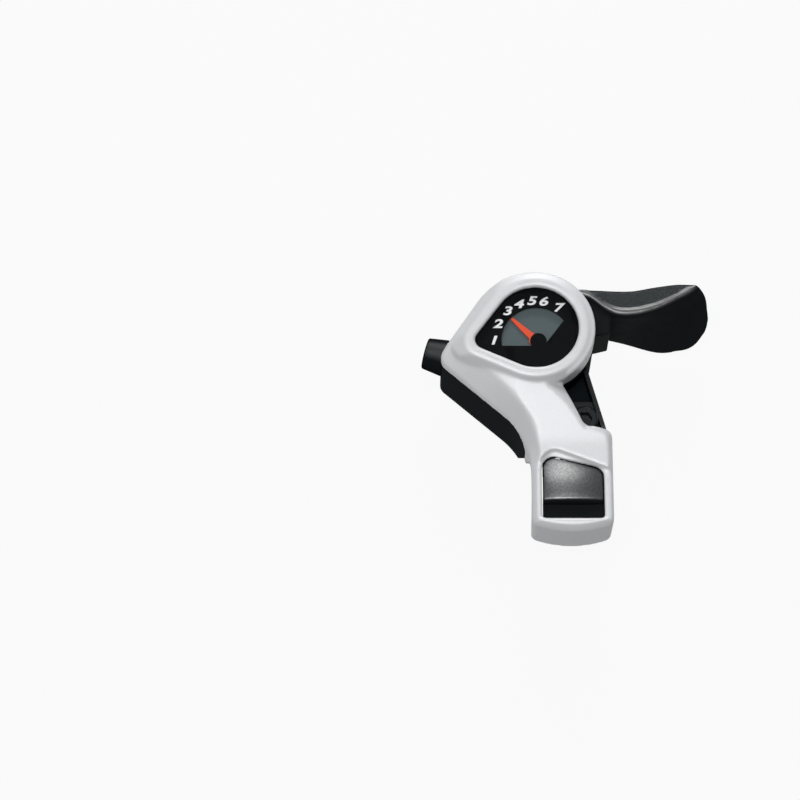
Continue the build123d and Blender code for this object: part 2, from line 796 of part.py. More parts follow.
def make_lower_housing():
    """Black lower shell with floor, lever slot, clamp deck and adjuster socket."""
    trim = Pos(HEAD_X, REAR_FACE + FAR / 2) * Rectangle(FAR, FAR)
    plan = (cover_outline() & trim) + notch_area(FIT_CLEAR)
    body = prism(plan, BASE_LOW_Z, SPLIT_Z)
    rim = body.faces().sort_by(Axis.Z)[0].edges()
    body = chamfer(rim.filter_by(lambda e: e.center().Y > HEAD_Y or e.center().X < FOOT_LEFT), BASE_EDGE)
    body = body & side_prism(split_profile(False), FAR)
    below = BASE_LOW_Z - 2.0
    behind = REAR_FACE - 2.0
    heel = area((behind, below), (HEEL_Y, below), (HEEL_Y, BASE_LOW_Z), (REAR_FACE, HEEL_Z), (behind, HEEL_Z))
    body = body - Pos(HEEL_X - FAR, 0, 0) * side_prism(heel, FAR)
    open_notch = notch_area(FIT_CLEAR) - cover_outline()
    body = body - prism(open_notch, DECK_Z, SPLIT_Z + 1)
    body = body - drum((0, BOLT_Y), BOLT_HEAD_R + MOVE_CLEAR, DECK_Z, SPLIT_Z + 1)
    body = body - prism(tab_area(FIT_CLEAR), DECK_Z, TAB_TOP_Z + FIT_CLEAR)
    room = drum(HEAD, CAVITY_R, FLOOR_Z, SPLIT_Z + 1) + prism(hold_bay(), FLOOR_Z, SPLIT_Z + 1)
    for place in SCREW_PLACES:
        room = room - drum(place, SCREW_HEAD_R + 0.4, FLOOR_Z, SPLIT_Z + 1)
    body = body - room
    slot_from = LEVER_ROOT_FROM - SLOT_MARGIN
    slot_to = LEVER_ROOT_TO + LEVER_TRAVEL + SLOT_MARGIN
    slot = sector(AXLE, LEVER_ROOT_R - 1, HEAD_R + 12, slot_from, slot_to)
    body = body - prism(slot, FLOOR_Z, SPLIT_Z + 1)
    bay_width = EAR_W + 2.4
    bay = Pos(bay_width / 2 - EAR_W / 2 - 1.2 + 4, BOLT_Y) * Rectangle(bay_width + 8, 2 * (EAR_END + 1.2))
    bay_rear = Pos(0, REAR_FACE + 3) * Rectangle(bay_width, BOLT_Y - REAR_FACE + 4)
    body = body - prism(bay + bay_rear, BASE_LOW_Z - 1, EAR_TOP_Z)
    body = body - drum((0, BOLT_Y), BOLT_HOLE_R, EAR_TOP_Z - 1, DECK_Z + 1)
    body = body - arm_channel(SPLIT_Z - 8.5, SPLIT_Z + 1, MOVE_CLEAR)
    body = body - bracket_room()
    body = body - along_barrel(BARREL_R + MOVE_CLEAR, BARREL_START - MOVE_CLEAR, 40)
    body = body - along_barrel(SHANK_R + RUN_CLEAR, BARREL_START - SHANK_LEN - 1, SHANK_LEN + 2)
    body = body - along_barrel(INNER_R, 4, BARREL_START)
    for place in SCREW_PLACES:
        body = body - drum(place, SCREW_R + FIT_CLEAR, BASE_LOW_Z - 1, SPLIT_Z + 1)
        body = body - drum(place, SCREW_HEAD_R + FIT_CLEAR, BASE_LOW_Z - 1, BASE_LOW_Z + SCREW_HEAD_H)
    for angle in PLATE_SCREW_DEG:
        place = polar(AXLE, PLATE_SCREW_AT_R, angle)
        body = body + drum(place, SCREW_HEAD_R, FLOOR_Z, PLATE_Z)
        body = body - drum(place, SCREW_R, PLATE_Z - PLATE_SCREW_LEN, PLATE_Z + 1)
    return body


def make_cover_screws():
    """Screws from below that close the housing."""
    screws = []
    for place in SCREW_PLACES:
        shank = drum(place, SCREW_R, BASE_LOW_Z + SCREW_HEAD_H, SPLIT_Z + SCREW_BITE)
        head = drum(place, SCREW_HEAD_R, BASE_LOW_Z + 0.3, BASE_LOW_Z + SCREW_HEAD_H)
        slot = Pos(*place, BASE_LOW_Z) * (Box(0.8, 3.4, 2.0) + Box(3.4, 0.8, 2.0))
        screws.append(shank + head - slot)
    return Compound(children=[s.solid() for s in screws])


# Mounting bracket: a bent steel plate from the clamp bolt to the main axle

def tab_area(margin):
    """Bracket tab under the clamp bolt's head."""
    right = strip_place() * Pos(strip_length() / 2, 15) * Rectangle(strip_length() + 16, 30)
    wide = 30.0
    centre = ((TAB_LEFT - margin) + wide / 2, (TAB_REAR + TAB_FRONT) / 2)
    block = Pos(*centre) * Rectangle(wide, TAB_FRONT - TAB_REAR + 2 * margin)
    return block & right


def strip_solid(margin):
    """Upright strip of the bracket."""
    length = strip_length()
    foot = length - STRIP_FOOT
    points = [
        (-2 - margin, STRIP_LOW_Z - margin),
        (-2 - margin, STRIP_TOP_Z - 1 + margin),
        (2, STRIP_TOP_Z + margin),
        (length + margin, STRIP_TOP_Z + margin),
        (length + margin, PLATE_Z - margin),
        (foot - margin, PLATE_Z - margin),
        (foot - 3.5 - margin, STRIP_LOW_Z - margin),
    ]
    face = Plane.XZ * rounded(points, [0.8, 1.5, 3, 1.0, 0, 1.5, 1.5])
    slab = extrude(face, STRIP_T + 2 * margin, dir=(0, 1, 0))
    return strip_place() * Pos(0, -margin, 0) * slab


def plate_area():
    """Bracket plate under the winder, with the arm that reaches the strip."""
    length = strip_length()
    strip = strip_place() * Pos(length - STRIP_FOOT / 2, STRIP_T / 2) * Rectangle(STRIP_FOOT, STRIP_T)
    reach = strip_place() * Pos(length - STRIP_FOOT / 2, 6) * Rectangle(PLATE_ARM_W, 12)
    arm = strip + reach
    pin = disc(pawl_pivot(HOLD_PIVOT_DEG), PIN_HEAD_R + 1.2)
    return disc(AXLE, PLATE_R) + arm + hull(pin, disc(AXLE, PLATE_R / 2))


def bracket_room():
    """Space that the bracket's strip and plate need in the lower housing."""
    reach = strip_place() * Pos(strip_length() - STRIP_FOOT / 2, 6) * Rectangle(PLATE_ARM_W + 1, 13)
    return strip_solid(FIT_CLEAR) + prism(reach, PLATE_Z - FIT_CLEAR, PLATE_TOP_Z + FIT_CLEAR)


def make_mounting_bracket():
    """Bent steel plate that ties the clamp bolt to the main axle."""
    body = prism(plate_area(), PLATE_Z, PLATE_TOP_Z)
    body = body + strip_solid(0)
    body = body + prism(tab_area(0), DECK_Z, TAB_TOP_Z)
    body = body - drum(AXLE, AXLE_R, PLATE_Z - 1, PLATE_TOP_Z + 1)
    body = body - drum((0, BOLT_Y), BOLT_HOLE_R, DECK_Z - 1, TAB_TOP_Z + 1)
    body = body - drum(pawl_pivot(HOLD_PIVOT_DEG), PAWL_PIN_R, PLATE_Z - 1, PLATE_TOP_Z + 1)
    for angle in PLATE_SCREW_DEG:
        place = polar(AXLE, PLATE_SCREW_AT_R, angle)
        body = body - drum(place, SCREW_R + FIT_CLEAR, PLATE_Z - 1, PLATE_TOP_Z + 1)
    post = polar(AXLE, COIL_R + COIL_WIRE / 2 + HOOK_GAP + POST_R, POST_DEG)
    return body + drum(post, POST_R, PLATE_TOP_Z - 0.1, LEVER_Z - MOVE_CLEAR)


def make_bracket_screws():
    """Screws that hold the bracket to the lower housing."""
    screws = []
    for angle in PLATE_SCREW_DEG:
        place = polar(AXLE, PLATE_SCREW_AT_R, angle)
        shank = drum(place, SCREW_R, PLATE_Z - PLATE_SCREW_LEN, PLATE_TOP_Z)
        head = drum(place, SCREW_R + 0.9, PLATE_TOP_Z, PLATE_TOP_Z + PLATE_SCREW_HEAD_H)
        screws.append(shank + head)
    return Compound(children=[s.solid() for s in screws])


# Handlebar clamp

def make_clamp_band():
    """Steel band round the bar with two ears for the bolt."""
    ring = Circle(BAND_OUT_R) - Circle(BAND_IN_R)
    gap = Pos(BAND_OUT_R, 0) * Rectangle(2 * BAND_OUT_R, BAND_GAP)
    band = side_prism(ring - gap, BAND_W / 2)
    start = sqrt(BAND_IN_R**2 - (BAND_GAP / 2) ** 2)
    tongue = Pos(0, (start + BOLT_Y) / 2) * Rectangle(EAR_W, BOLT_Y - start)
    plan = tongue + disc((0, BOLT_Y), EAR_END) - disc((0, BOLT_Y), BOLT_HOLE_R)
    ears = prism(plan, BAND_GAP / 2, EAR_TOP_Z) + prism(plan, -EAR_TOP_Z, -BAND_GAP / 2)
    return band + (ears - Rot(0, 90, 0) * Cylinder(BAND_IN_R, 2 * BAND_W))


def make_clamp_bolt():
    """Socket-head bolt through the deck and both ears."""
    low = -EAR_TOP_Z - NUT_H - BOLT_END
    bolt = drum((0, BOLT_Y), BOLT_R, low, TAB_TOP_Z)
    head = drum((0, BOLT_Y), BOLT_HEAD_R, TAB_TOP_Z, TAB_TOP_Z + BOLT_HEAD_H)
    head = chamfer(head.edges().sort_by(Axis.Z)[-1], 0.5)
    key = Pos(0, BOLT_Y) * RegularPolygon(BOLT_KEY / 2, 6, major_radius=False)
    top = TAB_TOP_Z + BOLT_HEAD_H
    return bolt + head - prism(key, top - BOLT_KEY_DEPTH, top + 1)


def make_clamp_nut():
    """Square nut under the lower ear."""
    block = prism(Pos(0, BOLT_Y) * RectangleRounded(NUT_SIDE, NUT_SIDE, 0.6), -EAR_TOP_Z - NUT_H, -EAR_TOP_Z)
    return block - drum((0, BOLT_Y), BOLT_R, -EAR_TOP_Z - NUT_H - 1, -EAR_TOP_Z + 1)


# Dial

def make_dial_lens():
    """Clear window with a flange that seats under the cover."""
    plate = prism(window_outline(-FIT_CLEAR), ROOF_Z - LENS_FLANGE_T, BEZEL_Z - LENS_SINK)
    plate = chamfer(plate.faces().sort_by(Axis.Z)[-1].edges(), 0.25)
    return plate + prism(window_outline(LENS_FLANGE), ROOF_Z - LENS_FLANGE_T, ROOF_Z)


def scale_opening():
    """Fan-shaped opening that shows the needle."""
    fan = disc(AXLE, SCALE_R)
    above = Pos(AXLE_X, AXLE_Y + SCALE_LOW + 20) * Rectangle(80, 40)
    end = polar(AXLE, SCALE_END_R, SCALE_END_DEG)
    inner = (AXLE_X + SCALE_IN_X, AXLE_Y)
    run = degrees(atan2(end[1] - inner[1], end[0] - inner[0]))
    far = polar(inner, 30, run)
    near = polar(inner, -12, run)
    right = area(near, far, polar(far, 40, run - 90), polar(near, 40, run - 90))
    return (fan & above) - right - disc((AXLE_X + 0.6, AXLE_Y - 0.4), SCALE_HUB_R)


def make_dial_mask():
    """Black dial face with the scale opening."""
    return prism(window_outline(LENS_FLANGE) - scale_opening(), MASK_Z, MASK_Z + MASK_T)


def make_dial_tray():
    """Grey tray behind the needle."""
    tray = prism(window_outline(LENS_FLANGE), TRAY_Z, MASK_Z)
    tray = tray - prism(window_outline(LENS_FLANGE - TRAY_RIM_T), TRAY_TOP_Z, MASK_Z + 1)
    return tray - drum(AXLE, STEM_R + MOVE_CLEAR, TRAY_Z - 1, MASK_Z)


def make_dial_screws():
    """Small screws whose heads hold the dial tray."""
    screws = []
    for place in dial_screw_places():
        shank = drum(place, DIAL_SCREW_R, TRAY_Z, TRAY_Z + DIAL_SCREW_LEN)
        head = drum(place, DIAL_SCREW_HEAD_R, TRAY_Z - DIAL_SCREW_HEAD_H, TRAY_Z)
        screws.append(shank + head)
    return Compound(children=[s.solid() for s in screws])


def make_needle():
    """Tapered pointer on the winder's stem."""
    tip = polar(AXLE, NEEDLE_LEN, NEEDLE_DEG)
    side = NEEDLE_DEG + 90
    blade = area(
        polar(AXLE, NEEDLE_ROOT_W / 2, side),
        polar(tip, NEEDLE_TIP_W / 2, side),
        polar(tip, -NEEDLE_TIP_W / 2, side),
        polar(AXLE, -NEEDLE_ROOT_W / 2, side),
    )
    plan = blade + disc(AXLE, NEEDLE_HUB_R) - disc(AXLE, SPIGOT_R)
    return prism(plan, NEEDLE_Z, NEEDLE_Z + NEEDLE_T)


def make_needle_carrier():
    """Cup that carries the needle's stem from the spool over the axle nut."""
    roof = CARRIER_ROOF_Z + CARRIER_T
    cup = drum(AXLE, CARRIER_R, SPOOL_TOP_Z, roof)
    cup = chamfer(cup.edges().sort_by(Axis.Z)[-1], CARRIER_T / 2)
    cup = cup - drum(AXLE, CARRIER_R - CARRIER_T, SPOOL_TOP_Z - 1, CARRIER_ROOF_Z)
    stem = drum(AXLE, STEM_R, roof, NEEDLE_Z) + drum(AXLE, SPIGOT_R, NEEDLE_Z, NEEDLE_Z + NEEDLE_T)
    return cup + stem


# Winder on the main axle

def make_main_axle():
    """Shouldered axle riveted in the bracket, threaded at the top."""
    shaft = drum(AXLE, AXLE_R, PLATE_Z, SPOOL_TOP_Z + FIT_CLEAR)
    thread = drum(AXLE, AXLE_THREAD_R, SPOOL_TOP_Z + FIT_CLEAR, NUT_TOP_Z)
    return shaft + chamfer(thread.edges().sort_by(Axis.Z)[-1], 0.4)


def make_axle_nut():
    """Hexagon nut that holds the stack."""
    plan = Pos(*AXLE) * RegularPolygon(AXLE_NUT_W / 2, 6, major_radius=False)
    return prism(plan - disc(AXLE, AXLE_THREAD_R), NUT_Z, NUT_TOP_Z)


def make_axle_washer():
    """Washer under the axle nut."""
    low = SPOOL_TOP_Z + FIT_CLEAR
    return tube(AXLE, WASHER_R, AXLE_THREAD_R, low, low + WASHER_T)


def make_cable_spool():
    """Grooved drum that winds the cable, with a pocket for the cable's end."""
    groove = CABLE_D / 2 + 0.55
    profile = Polyline(
        (AXLE_R + RUN_CLEAR, SPOOL_Z),
        (SPOOL_R, SPOOL_Z),
        (SPOOL_R, CABLE_Z - groove),
        (CABLE_R - CABLE_D / 2, CABLE_Z - CABLE_D / 2),
        (CABLE_R - CABLE_D / 2, CABLE_Z + CABLE_D / 2),
        (SPOOL_R, CABLE_Z + groove),
        (SPOOL_R, SPOOL_TOP_Z),
        (AXLE_R + RUN_CLEAR, SPOOL_TOP_Z),
        close=True,
    )
    drum_solid = Pos(*AXLE) * revolve(Plane.XZ * make_face(profile), Axis.Z)
    pocket = polar(AXLE, CABLE_R - 1.2, 60)
    return drum_solid - drum(pocket, CABLE_END_R, CABLE_Z - CABLE_D, SPOOL_TOP_Z + 1)


def make_ratchet_wheel():
    """Saw-toothed wheel fixed under the spool."""
    pitch = 360 / TEETH
    points = []
    for tooth in range(TEETH):
        face = tooth * pitch
        points.append(polar(AXLE, TOOTH_ROOT_R, face))
        points.append(polar(AXLE, TOOTH_TIP_R, face))
        points.append(polar(AXLE, TOOTH_TIP_R, face + 0.12 * pitch))
    return prism(area(*points) - disc(AXLE, AXLE_R + RUN_CLEAR), RATCHET_Z, RATCHET_Z + RATCHET_T)


# Pawls

def pawl_sketch(pivot_deg, tooth_deg):
    """Pawl outline, dropped into its tooth, before it is lifted clear."""
    pivot = pawl_pivot(pivot_deg)
    face = tooth_deg - PAWL_SLACK_DEG
    toe = polar(AXLE, TOOTH_ROOT_R + PAWL_BITE, face)
    brow = polar(AXLE, TOOTH_TIP_R + 0.6, face)
    heel = polar(AXLE, TOOTH_TIP_R - 0.2, tooth_deg - 0.55 * 360 / TEETH)
    eye_low = polar(pivot, PAWL_EYE_R * 0.8, pivot_deg + 180)
    eye_high = polar(pivot, PAWL_EYE_R * 0.9, pivot_deg + 40)
    beak = area(toe, brow, eye_high, pivot, eye_low, heel)
    return beak + disc(pivot, PAWL_EYE_R) - disc(pivot, PAWL_PIN_R + RUN_CLEAR)


def pawl_lift_angle(pivot_deg, tooth_deg):
    """Turn about the pin that lifts the toe clear of the tooth tips."""
    face = tooth_deg - PAWL_SLACK_DEG
    low = TOOTH_ROOT_R + PAWL_BITE
    high = TOOTH_TIP_R + PAWL_LIFT
    spread = radians(face - pivot_deg)
    reach = sqrt(PAWL_R**2 + low**2 - 2 * PAWL_R * low * cos(spread))
    inner = acos((PAWL_R**2 + reach**2 - low**2) / (2 * PAWL_R * reach))
    outer = acos((PAWL_R**2 + reach**2 - high**2) / (2 * PAWL_R * reach))
    return degrees(outer - inner)


def lifted(shape, pivot_deg, tooth_deg):
    """Turn a pawl away from the ratchet about its pin."""
    pivot = pawl_pivot(pivot_deg)
    turn = -pawl_lift_angle(pivot_deg, tooth_deg)
    return Pos(*pivot) * Rot(0, 0, turn) * Pos(-pivot[0], -pivot[1]) * shape


def make_pawl(pivot_deg, tooth_deg):
    """Pawl held clear of the teeth, as at rest."""
    low = RATCHET_Z + (RATCHET_T - PAWL_T) / 2
    return prism(lifted(pawl_sketch(pivot_deg, tooth_deg), pivot_deg, tooth_deg), low, low + PAWL_T)


def make_pawl_pin(pivot_deg, low, shoulder_from):
    """Riveted pin with a shoulder under the pawl and a head over it."""
    pivot = pawl_pivot(pivot_deg)
    pawl_low = RATCHET_Z + (RATCHET_T - PAWL_T) / 2
    pawl_top = pawl_low + PAWL_T
    pin = drum(pivot, PAWL_PIN_R, low, pawl_top + FIT_CLEAR + PIN_HEAD_H)
    shoulder = drum(pivot, PIN_HEAD_R, shoulder_from, pawl_low - FIT_CLEAR)
    head = drum(pivot, PIN_HEAD_R, pawl_top + FIT_CLEAR, pawl_top + FIT_CLEAR + PIN_HEAD_H)
    return pin + shoulder + head


def make_pawl_spring(pivot_deg, away_deg, low, high):
    """Leaf spring that presses a pawl towards the ratchet."""
    pivot = pawl_pivot(pivot_deg)
    reach = PAWL_EYE_R + 0.35
    inner = CenterArc(pivot, reach, away_deg, 150)
    outer = CenterArc(pivot, reach + LEAF_T, away_deg, 150)
    leaf = make_face([inner, outer, Line(inner @ 0, outer @ 0), Line(inner @ 1, outer @ 1)])
    return prism(leaf, low, high)


# Lever

def lever_section(part, brow_y, dish_y, toe_y):
    """Angle-shaped section of the lever: flange with a raised bead, hollowed thumb face below."""
    far = 80.0
    flange_low = LEVER_FLANGE_Z - LEVER_WALL
    valley = (brow_y + LEVER_BEAD_W, LEVER_FLANGE_Z)
    crest = (brow_y + 0.38 * LEVER_BEAD_W, LEVER_FLANGE_Z + LEVER_BEAD_H)
    brow = (brow_y, LEVER_FLANGE_Z - LEVER_BROW_DROP)
    toe = (toe_y, LEVER_TOE_Z)
    back_brow = (brow_y + LEVER_WALL, flange_low)
    back_toe = (toe_y + LEVER_WALL, LEVER_TOE_Z)
    edges = [
        Line((far, LEVER_FLANGE_Z), valley),
        ThreePointArc(valley, crest, brow),
        ThreePointArc(brow, (dish_y, LEVER_DISH_Z), toe),
        Line(toe, back_toe),
        ThreePointArc(back_brow, (dish_y + LEVER_WALL, LEVER_DISH_Z), back_toe),
        Line(back_brow, (far, flange_low)),
        Line((far, flange_low), (far, LEVER_FLANGE_Z)),
    ]
    return Plane((part * LEVER_REACH, 0, 0), x_dir=(0, 1, 0), z_dir=(1, 0, 0)) * make_face(edges)


def lever_paddle():
    """Twisted thumb paddle with its top flange."""
    blank = loft([lever_section(*station) for station in LEVER_STATIONS])
    tip = [(part * LEVER_REACH, z) for part, z in LEVER_REAR_VIEW]
    high = LEVER_FLANGE_Z + 4.0
    root_low = (LEVER_BLADE_X, tip[-1][1])
    rest = Polyline(tip[-1], root_low, (LEVER_BLADE_X, high), (tip[0][0] - 3.0, high), tip[0])
    rear_view = Plane.XZ * make_face([Spline(*tip), *rest.edges()])
    blank = blank & extrude(rear_view, 100, dir=(0, 1, 0))
    front = [(part * LEVER_REACH, y) for part, y in LEVER_FRONT_VIEW]
    back = Polyline(front[-1], (front[-1][0], 40.0), (front[0][0], 40.0), front[0])
    plan = make_face([Spline(*front), *back.edges()])
    paddle = blank & prism(plan, -20, 20)
    thumb_face = paddle.faces().sort_by(SortBy.AREA)[-2:].sort_by(Axis.Y)[0]
    rim = thumb_face.edges().filter_by(lambda e: min(e.bounding_box().size.X, e.bounding_box().size.Z) > 1)
    paddle = fillet(rim, LEVER_RIM_R)
    long_edges = paddle.edges().filter_by(lambda e: e.length > LEVER_REACH / 2)
    fronts = long_edges.filter_by(lambda e: e.center().Y > LEVER_ROOT_FRONT)
    return fillet(fronts.sort_by(Axis.Z)[-1], LEVER_EDGE_R)


def make_thumb_lever():
    """Moulded lever: paddle, root inside the housing, seat for the steel arm."""
    root = sector(AXLE, LEVER_ROOT_R, 30, LEVER_ROOT_FROM, LEVER_ROOT_TO)
    limit = Pos(LEVER_ROOT_END - FAR / 2, HEAD_Y) * Rectangle(FAR, FAR)
    front = Pos(0, LEVER_ROOT_FRONT - FAR / 2) * Rectangle(FAR, FAR)
    block = prism(root & limit & front, LEVER_ROOT_LOW, LEVER_ROOT_TOP)
    lever = lever_paddle() + block
    lever = lever - prism(lever_arm_area(), LEVER_Z, LEVER_TOP_Z)
    for place in rivet_places():
        lever = lever - drum(place, RIVET_R, LEVER_ROOT_LOW - 1, LEVER_TOP_Z + RIVET_RISE)
    return lever


def lever_arm_area():
    """Steel arm that reaches into the moulded lever."""
    return sector(AXLE, LEVER_HUB_R - 1.5, LEVER_ARM_R, LEVER_ARM_FROM, LEVER_ARM_TO)


def rivet_places():
    """Centres of the two lever rivets."""
    third = (LEVER_ARM_TO - LEVER_ARM_FROM) / 4
    return [polar(AXLE, RIVET_AT_R, angle) for angle in (LEVER_ARM_FROM + third, LEVER_ARM_TO - third)]


def make_lever_plate():
    """Steel core of the lever with the drive pawl's seat."""
    lobe = hull(disc(pawl_pivot(DRIVE_PIVOT_DEG), PIN_HEAD_R + 0.9), disc(AXLE, LEVER_HUB_R * 0.75))
    plan = disc(AXLE, LEVER_HUB_R) + lobe + lever_arm_area() - disc(AXLE, BUSH_R)
    plan = plan - disc(pawl_pivot(DRIVE_PIVOT_DEG), PAWL_PIN_R)
    for place in rivet_places():
        plan = plan - disc(place, RIVET_R)
    hook = polar(AXLE, COIL_R + COIL_WIRE / 2 + HOOK_GAP + HOOK_R, HOOK_DEG)
    return prism(plan, LEVER_Z, LEVER_TOP_Z) + drum(hook, HOOK_R, PLATE_TOP_Z + 0.6, LEVER_Z + 0.1)


def make_lever_bush():
    """Plain bush between the lever and the axle."""
    return tube(AXLE, BUSH_R, AXLE_R + RUN_CLEAR, PLATE_TOP_Z + WASHER_T + FIT_CLEAR, LEVER_TOP_Z)


def make_thrust_washer():
    """Washer under the lever bush."""
    return tube(AXLE, WASHER_R, AXLE_R, PLATE_TOP_Z, PLATE_TOP_Z + WASHER_T)


def make_lever_rivets():
    """Rivets that fix the steel arm in the moulded lever."""
    rivets = []
    for place in rivet_places():
        shank = drum(place, RIVET_R, LEVER_ROOT_LOW, LEVER_TOP_Z + RIVET_RISE)
        head = drum(place, RIVET_HEAD_R, LEVER_ROOT_LOW - RIVET_HEAD_H, LEVER_ROOT_LOW)
        rivets.append(shank + head)
    return Compound(children=[r.solid() for r in rivets])


def make_lever_spring():
    """Torsion coil that brings the lever back."""
    low = PLATE_TOP_Z + COIL_WIRE / 2 + FIT_CLEAR
    path = Pos(*AXLE, low) * Helix(COIL_PITCH, COIL_PITCH * COIL_TURNS, COIL_R)
    profile = Plane(path @ 0, z_dir=path % 0) * Circle(COIL_WIRE / 2)
    return sweep(profile, path)


# Release button

def hinge_rod(radius):
    """Solid on the button's hinge line, from wall to wall of the foot."""
    length = FOOT_RIGHT - FOOT_LEFT - WALL
    rod = Rot(0, 90, 0) * Cylinder(radius, length)
    return Pos(FOOT_MID, HINGE_Y, HINGE_Z) * rod


def button_crown():
    """Crowned pad of the button, turned about an axis far below it."""
    front = OPENING_FRONT_L + 2
    low = BUTTON_SHELF_Z - 3
    outline = rounded(
        [
            (front, low),
            (BUTTON_STEP_Y - 1.1, low),
            (BUTTON_STEP_Y, BUTTON_REAR_Z),
            (BUTTON_DISH_Y, BUTTON_DISH_Z),
            (front, BUTTON_FRONT_Z),
        ],
        [0, 0, BUTTON_BROW_R, BUTTON_DISH_R, 0],
    )
    centre = (OPENING_LEFT + OPENING_RIGHT) / 2
    axis = Axis((centre, 0, BUTTON_DISH_Z - BUTTON_CROWN_R), (0, 1, 0))
    profile = Pos(centre, 0, 0) * (Plane.YZ * outline)
    return revolve(profile.rotate(axis, -BUTTON_CROWN_DEG), axis, 2 * BUTTON_CROWN_DEG)


def make_release_button():
    """Rocking trigger: low shelf at the rear, raised crowned pad in front."""
    front = OPENING_FRONT_L + 2
    shelf_low = BUTTON_SHELF_Z - BUTTON_SHELF_T
    inside = BUTTON_SKIRT_Z + BUTTON_HOLLOW
    side = area(
        (HINGE_Y, BEZEL_Z),
        (front, BEZEL_Z),
        (front, BUTTON_SKIRT_Z),
        (2.0, inside),
        (BUTTON_STEP_Y + BUTTON_WALL, inside),
        (BUTTON_STEP_Y, shelf_low),
        (HINGE_Y, shelf_low),
    )
    body = side_prism(side, FAR) & prism(button_opening(-BUTTON_GAP), 0, BEZEL_Z)
    body = body & (button_crown() + prism(Rectangle(FAR, FAR), 0, BUTTON_SHELF_Z))
    pad_rim = body.edges().filter_by(lambda e: e.center().Z > inside + 0.05)
    body = fillet(pad_rim.filter_by(lambda e: e.bounding_box().size.Y > 0.6), BUTTON_RIM_R)
    eye = Pos(FOOT_MID, HINGE_Y, HINGE_Z) * Rot(0, 90, 0) * Cylinder(HINGE_EYE_R, HINGE_EYE_W)
    web_high = shelf_low + 0.2
    web = Pos(FOOT_MID, HINGE_Y + 0.9, (HINGE_Z + web_high) / 2) * Box(HINGE_EYE_W, 1.8, web_high - HINGE_Z)
    body = body + eye + web
    return body - hinge_rod(HINGE_PIN_R + RUN_CLEAR)


def make_release_arm():
    """Steel strip from the button along the neck to the holding pawl."""
    start = OPENING_FRONT_R - 1.6
    top = BUTTON_SKIRT_Z
    points = [
        (start, top - ARM_T),
        (start, top),
        (12.0, top),
        (ARM_TIP_Y, top + 0.2),
        (ARM_TIP_Y, top - 2.6),
        (ARM_TIP_Y - ARM_T, top - 2.6),
        (ARM_TIP_Y - ARM_T, top + 0.2 - ARM_T),
        (12.0, top - ARM_T),
    ]
    return Pos(ARM_X, 0, 0) * side_prism(area(*points), ARM_W / 2)


def make_button_spring():
    """Leaf spring from the rear wall, under the hinge pin, to the underside of the pad."""
    middle = OPENING_LEFT + BUTTON_GAP + LEAF_W / 2 + 0.6
    bow_gap = sqrt((FOOT_REAR_R - WALL - 0.3) ** 2 - (middle - LEAF_W / 2 - FOOT_MID) ** 2)
    wall_y = FOOT_REAR + FOOT_REAR_R - bow_gap + FIT_CLEAR
    path = [
        (wall_y, HINGE_Z - 5.0),
        (wall_y, HINGE_Z - 2.0),
        (HINGE_Y + 2.0, HINGE_Z - 0.6),
        (BUTTON_STEP_Y + 0.3, BUTTON_SHELF_Z - BUTTON_SHELF_T - 0.6),
        (BUTTON_STEP_Y + BUTTON_WALL + 0.8, BUTTON_SKIRT_Z + BUTTON_HOLLOW - FIT_CLEAR),
    ]
    back = [(y, z - LEAF_T) for y, z in reversed(path[2:])]
    back.append((wall_y + LEAF_T, HINGE_Z - 2.0 - LEAF_T / 2))
    back.append((wall_y + LEAF_T, HINGE_Z - 5.0))
    return Pos(middle, 0, 0) * side_prism(area(*path, *back), LEAF_W / 2)


# Cable adjuster

def make_adjuster_barrel():
    """Tapered adjuster with a threaded shank and a socket for the cable casing."""
    collar = Cylinder(BARREL_R, BARREL_COLLAR, align=STANDING)
    taper = Cone(BARREL_R, BARREL_END_R, BARREL_LEN - BARREL_COLLAR, align=STANDING)
    knob = collar + Pos(0, 0, BARREL_COLLAR) * taper
    knob = fillet(knob.edges().sort_by(Axis.Z)[-1], BARREL_EDGE_R)
    shank = Pos(0, 0, -SHANK_LEN) * Cylinder(SHANK_R, SHANK_LEN, align=STANDING)
    seat = Pos(0, 0, BARREL_LEN - CASING_DEPTH) * Cylinder(CASING_R, CASING_DEPTH + 1, align=STANDING)
    bore = Pos(0, 0, -SHANK_LEN - 1) * Cylinder(INNER_R, SHANK_LEN + BARREL_LEN, align=STANDING)
    return barrel_frame(BARREL_START) * (knob + shank - seat - bore)


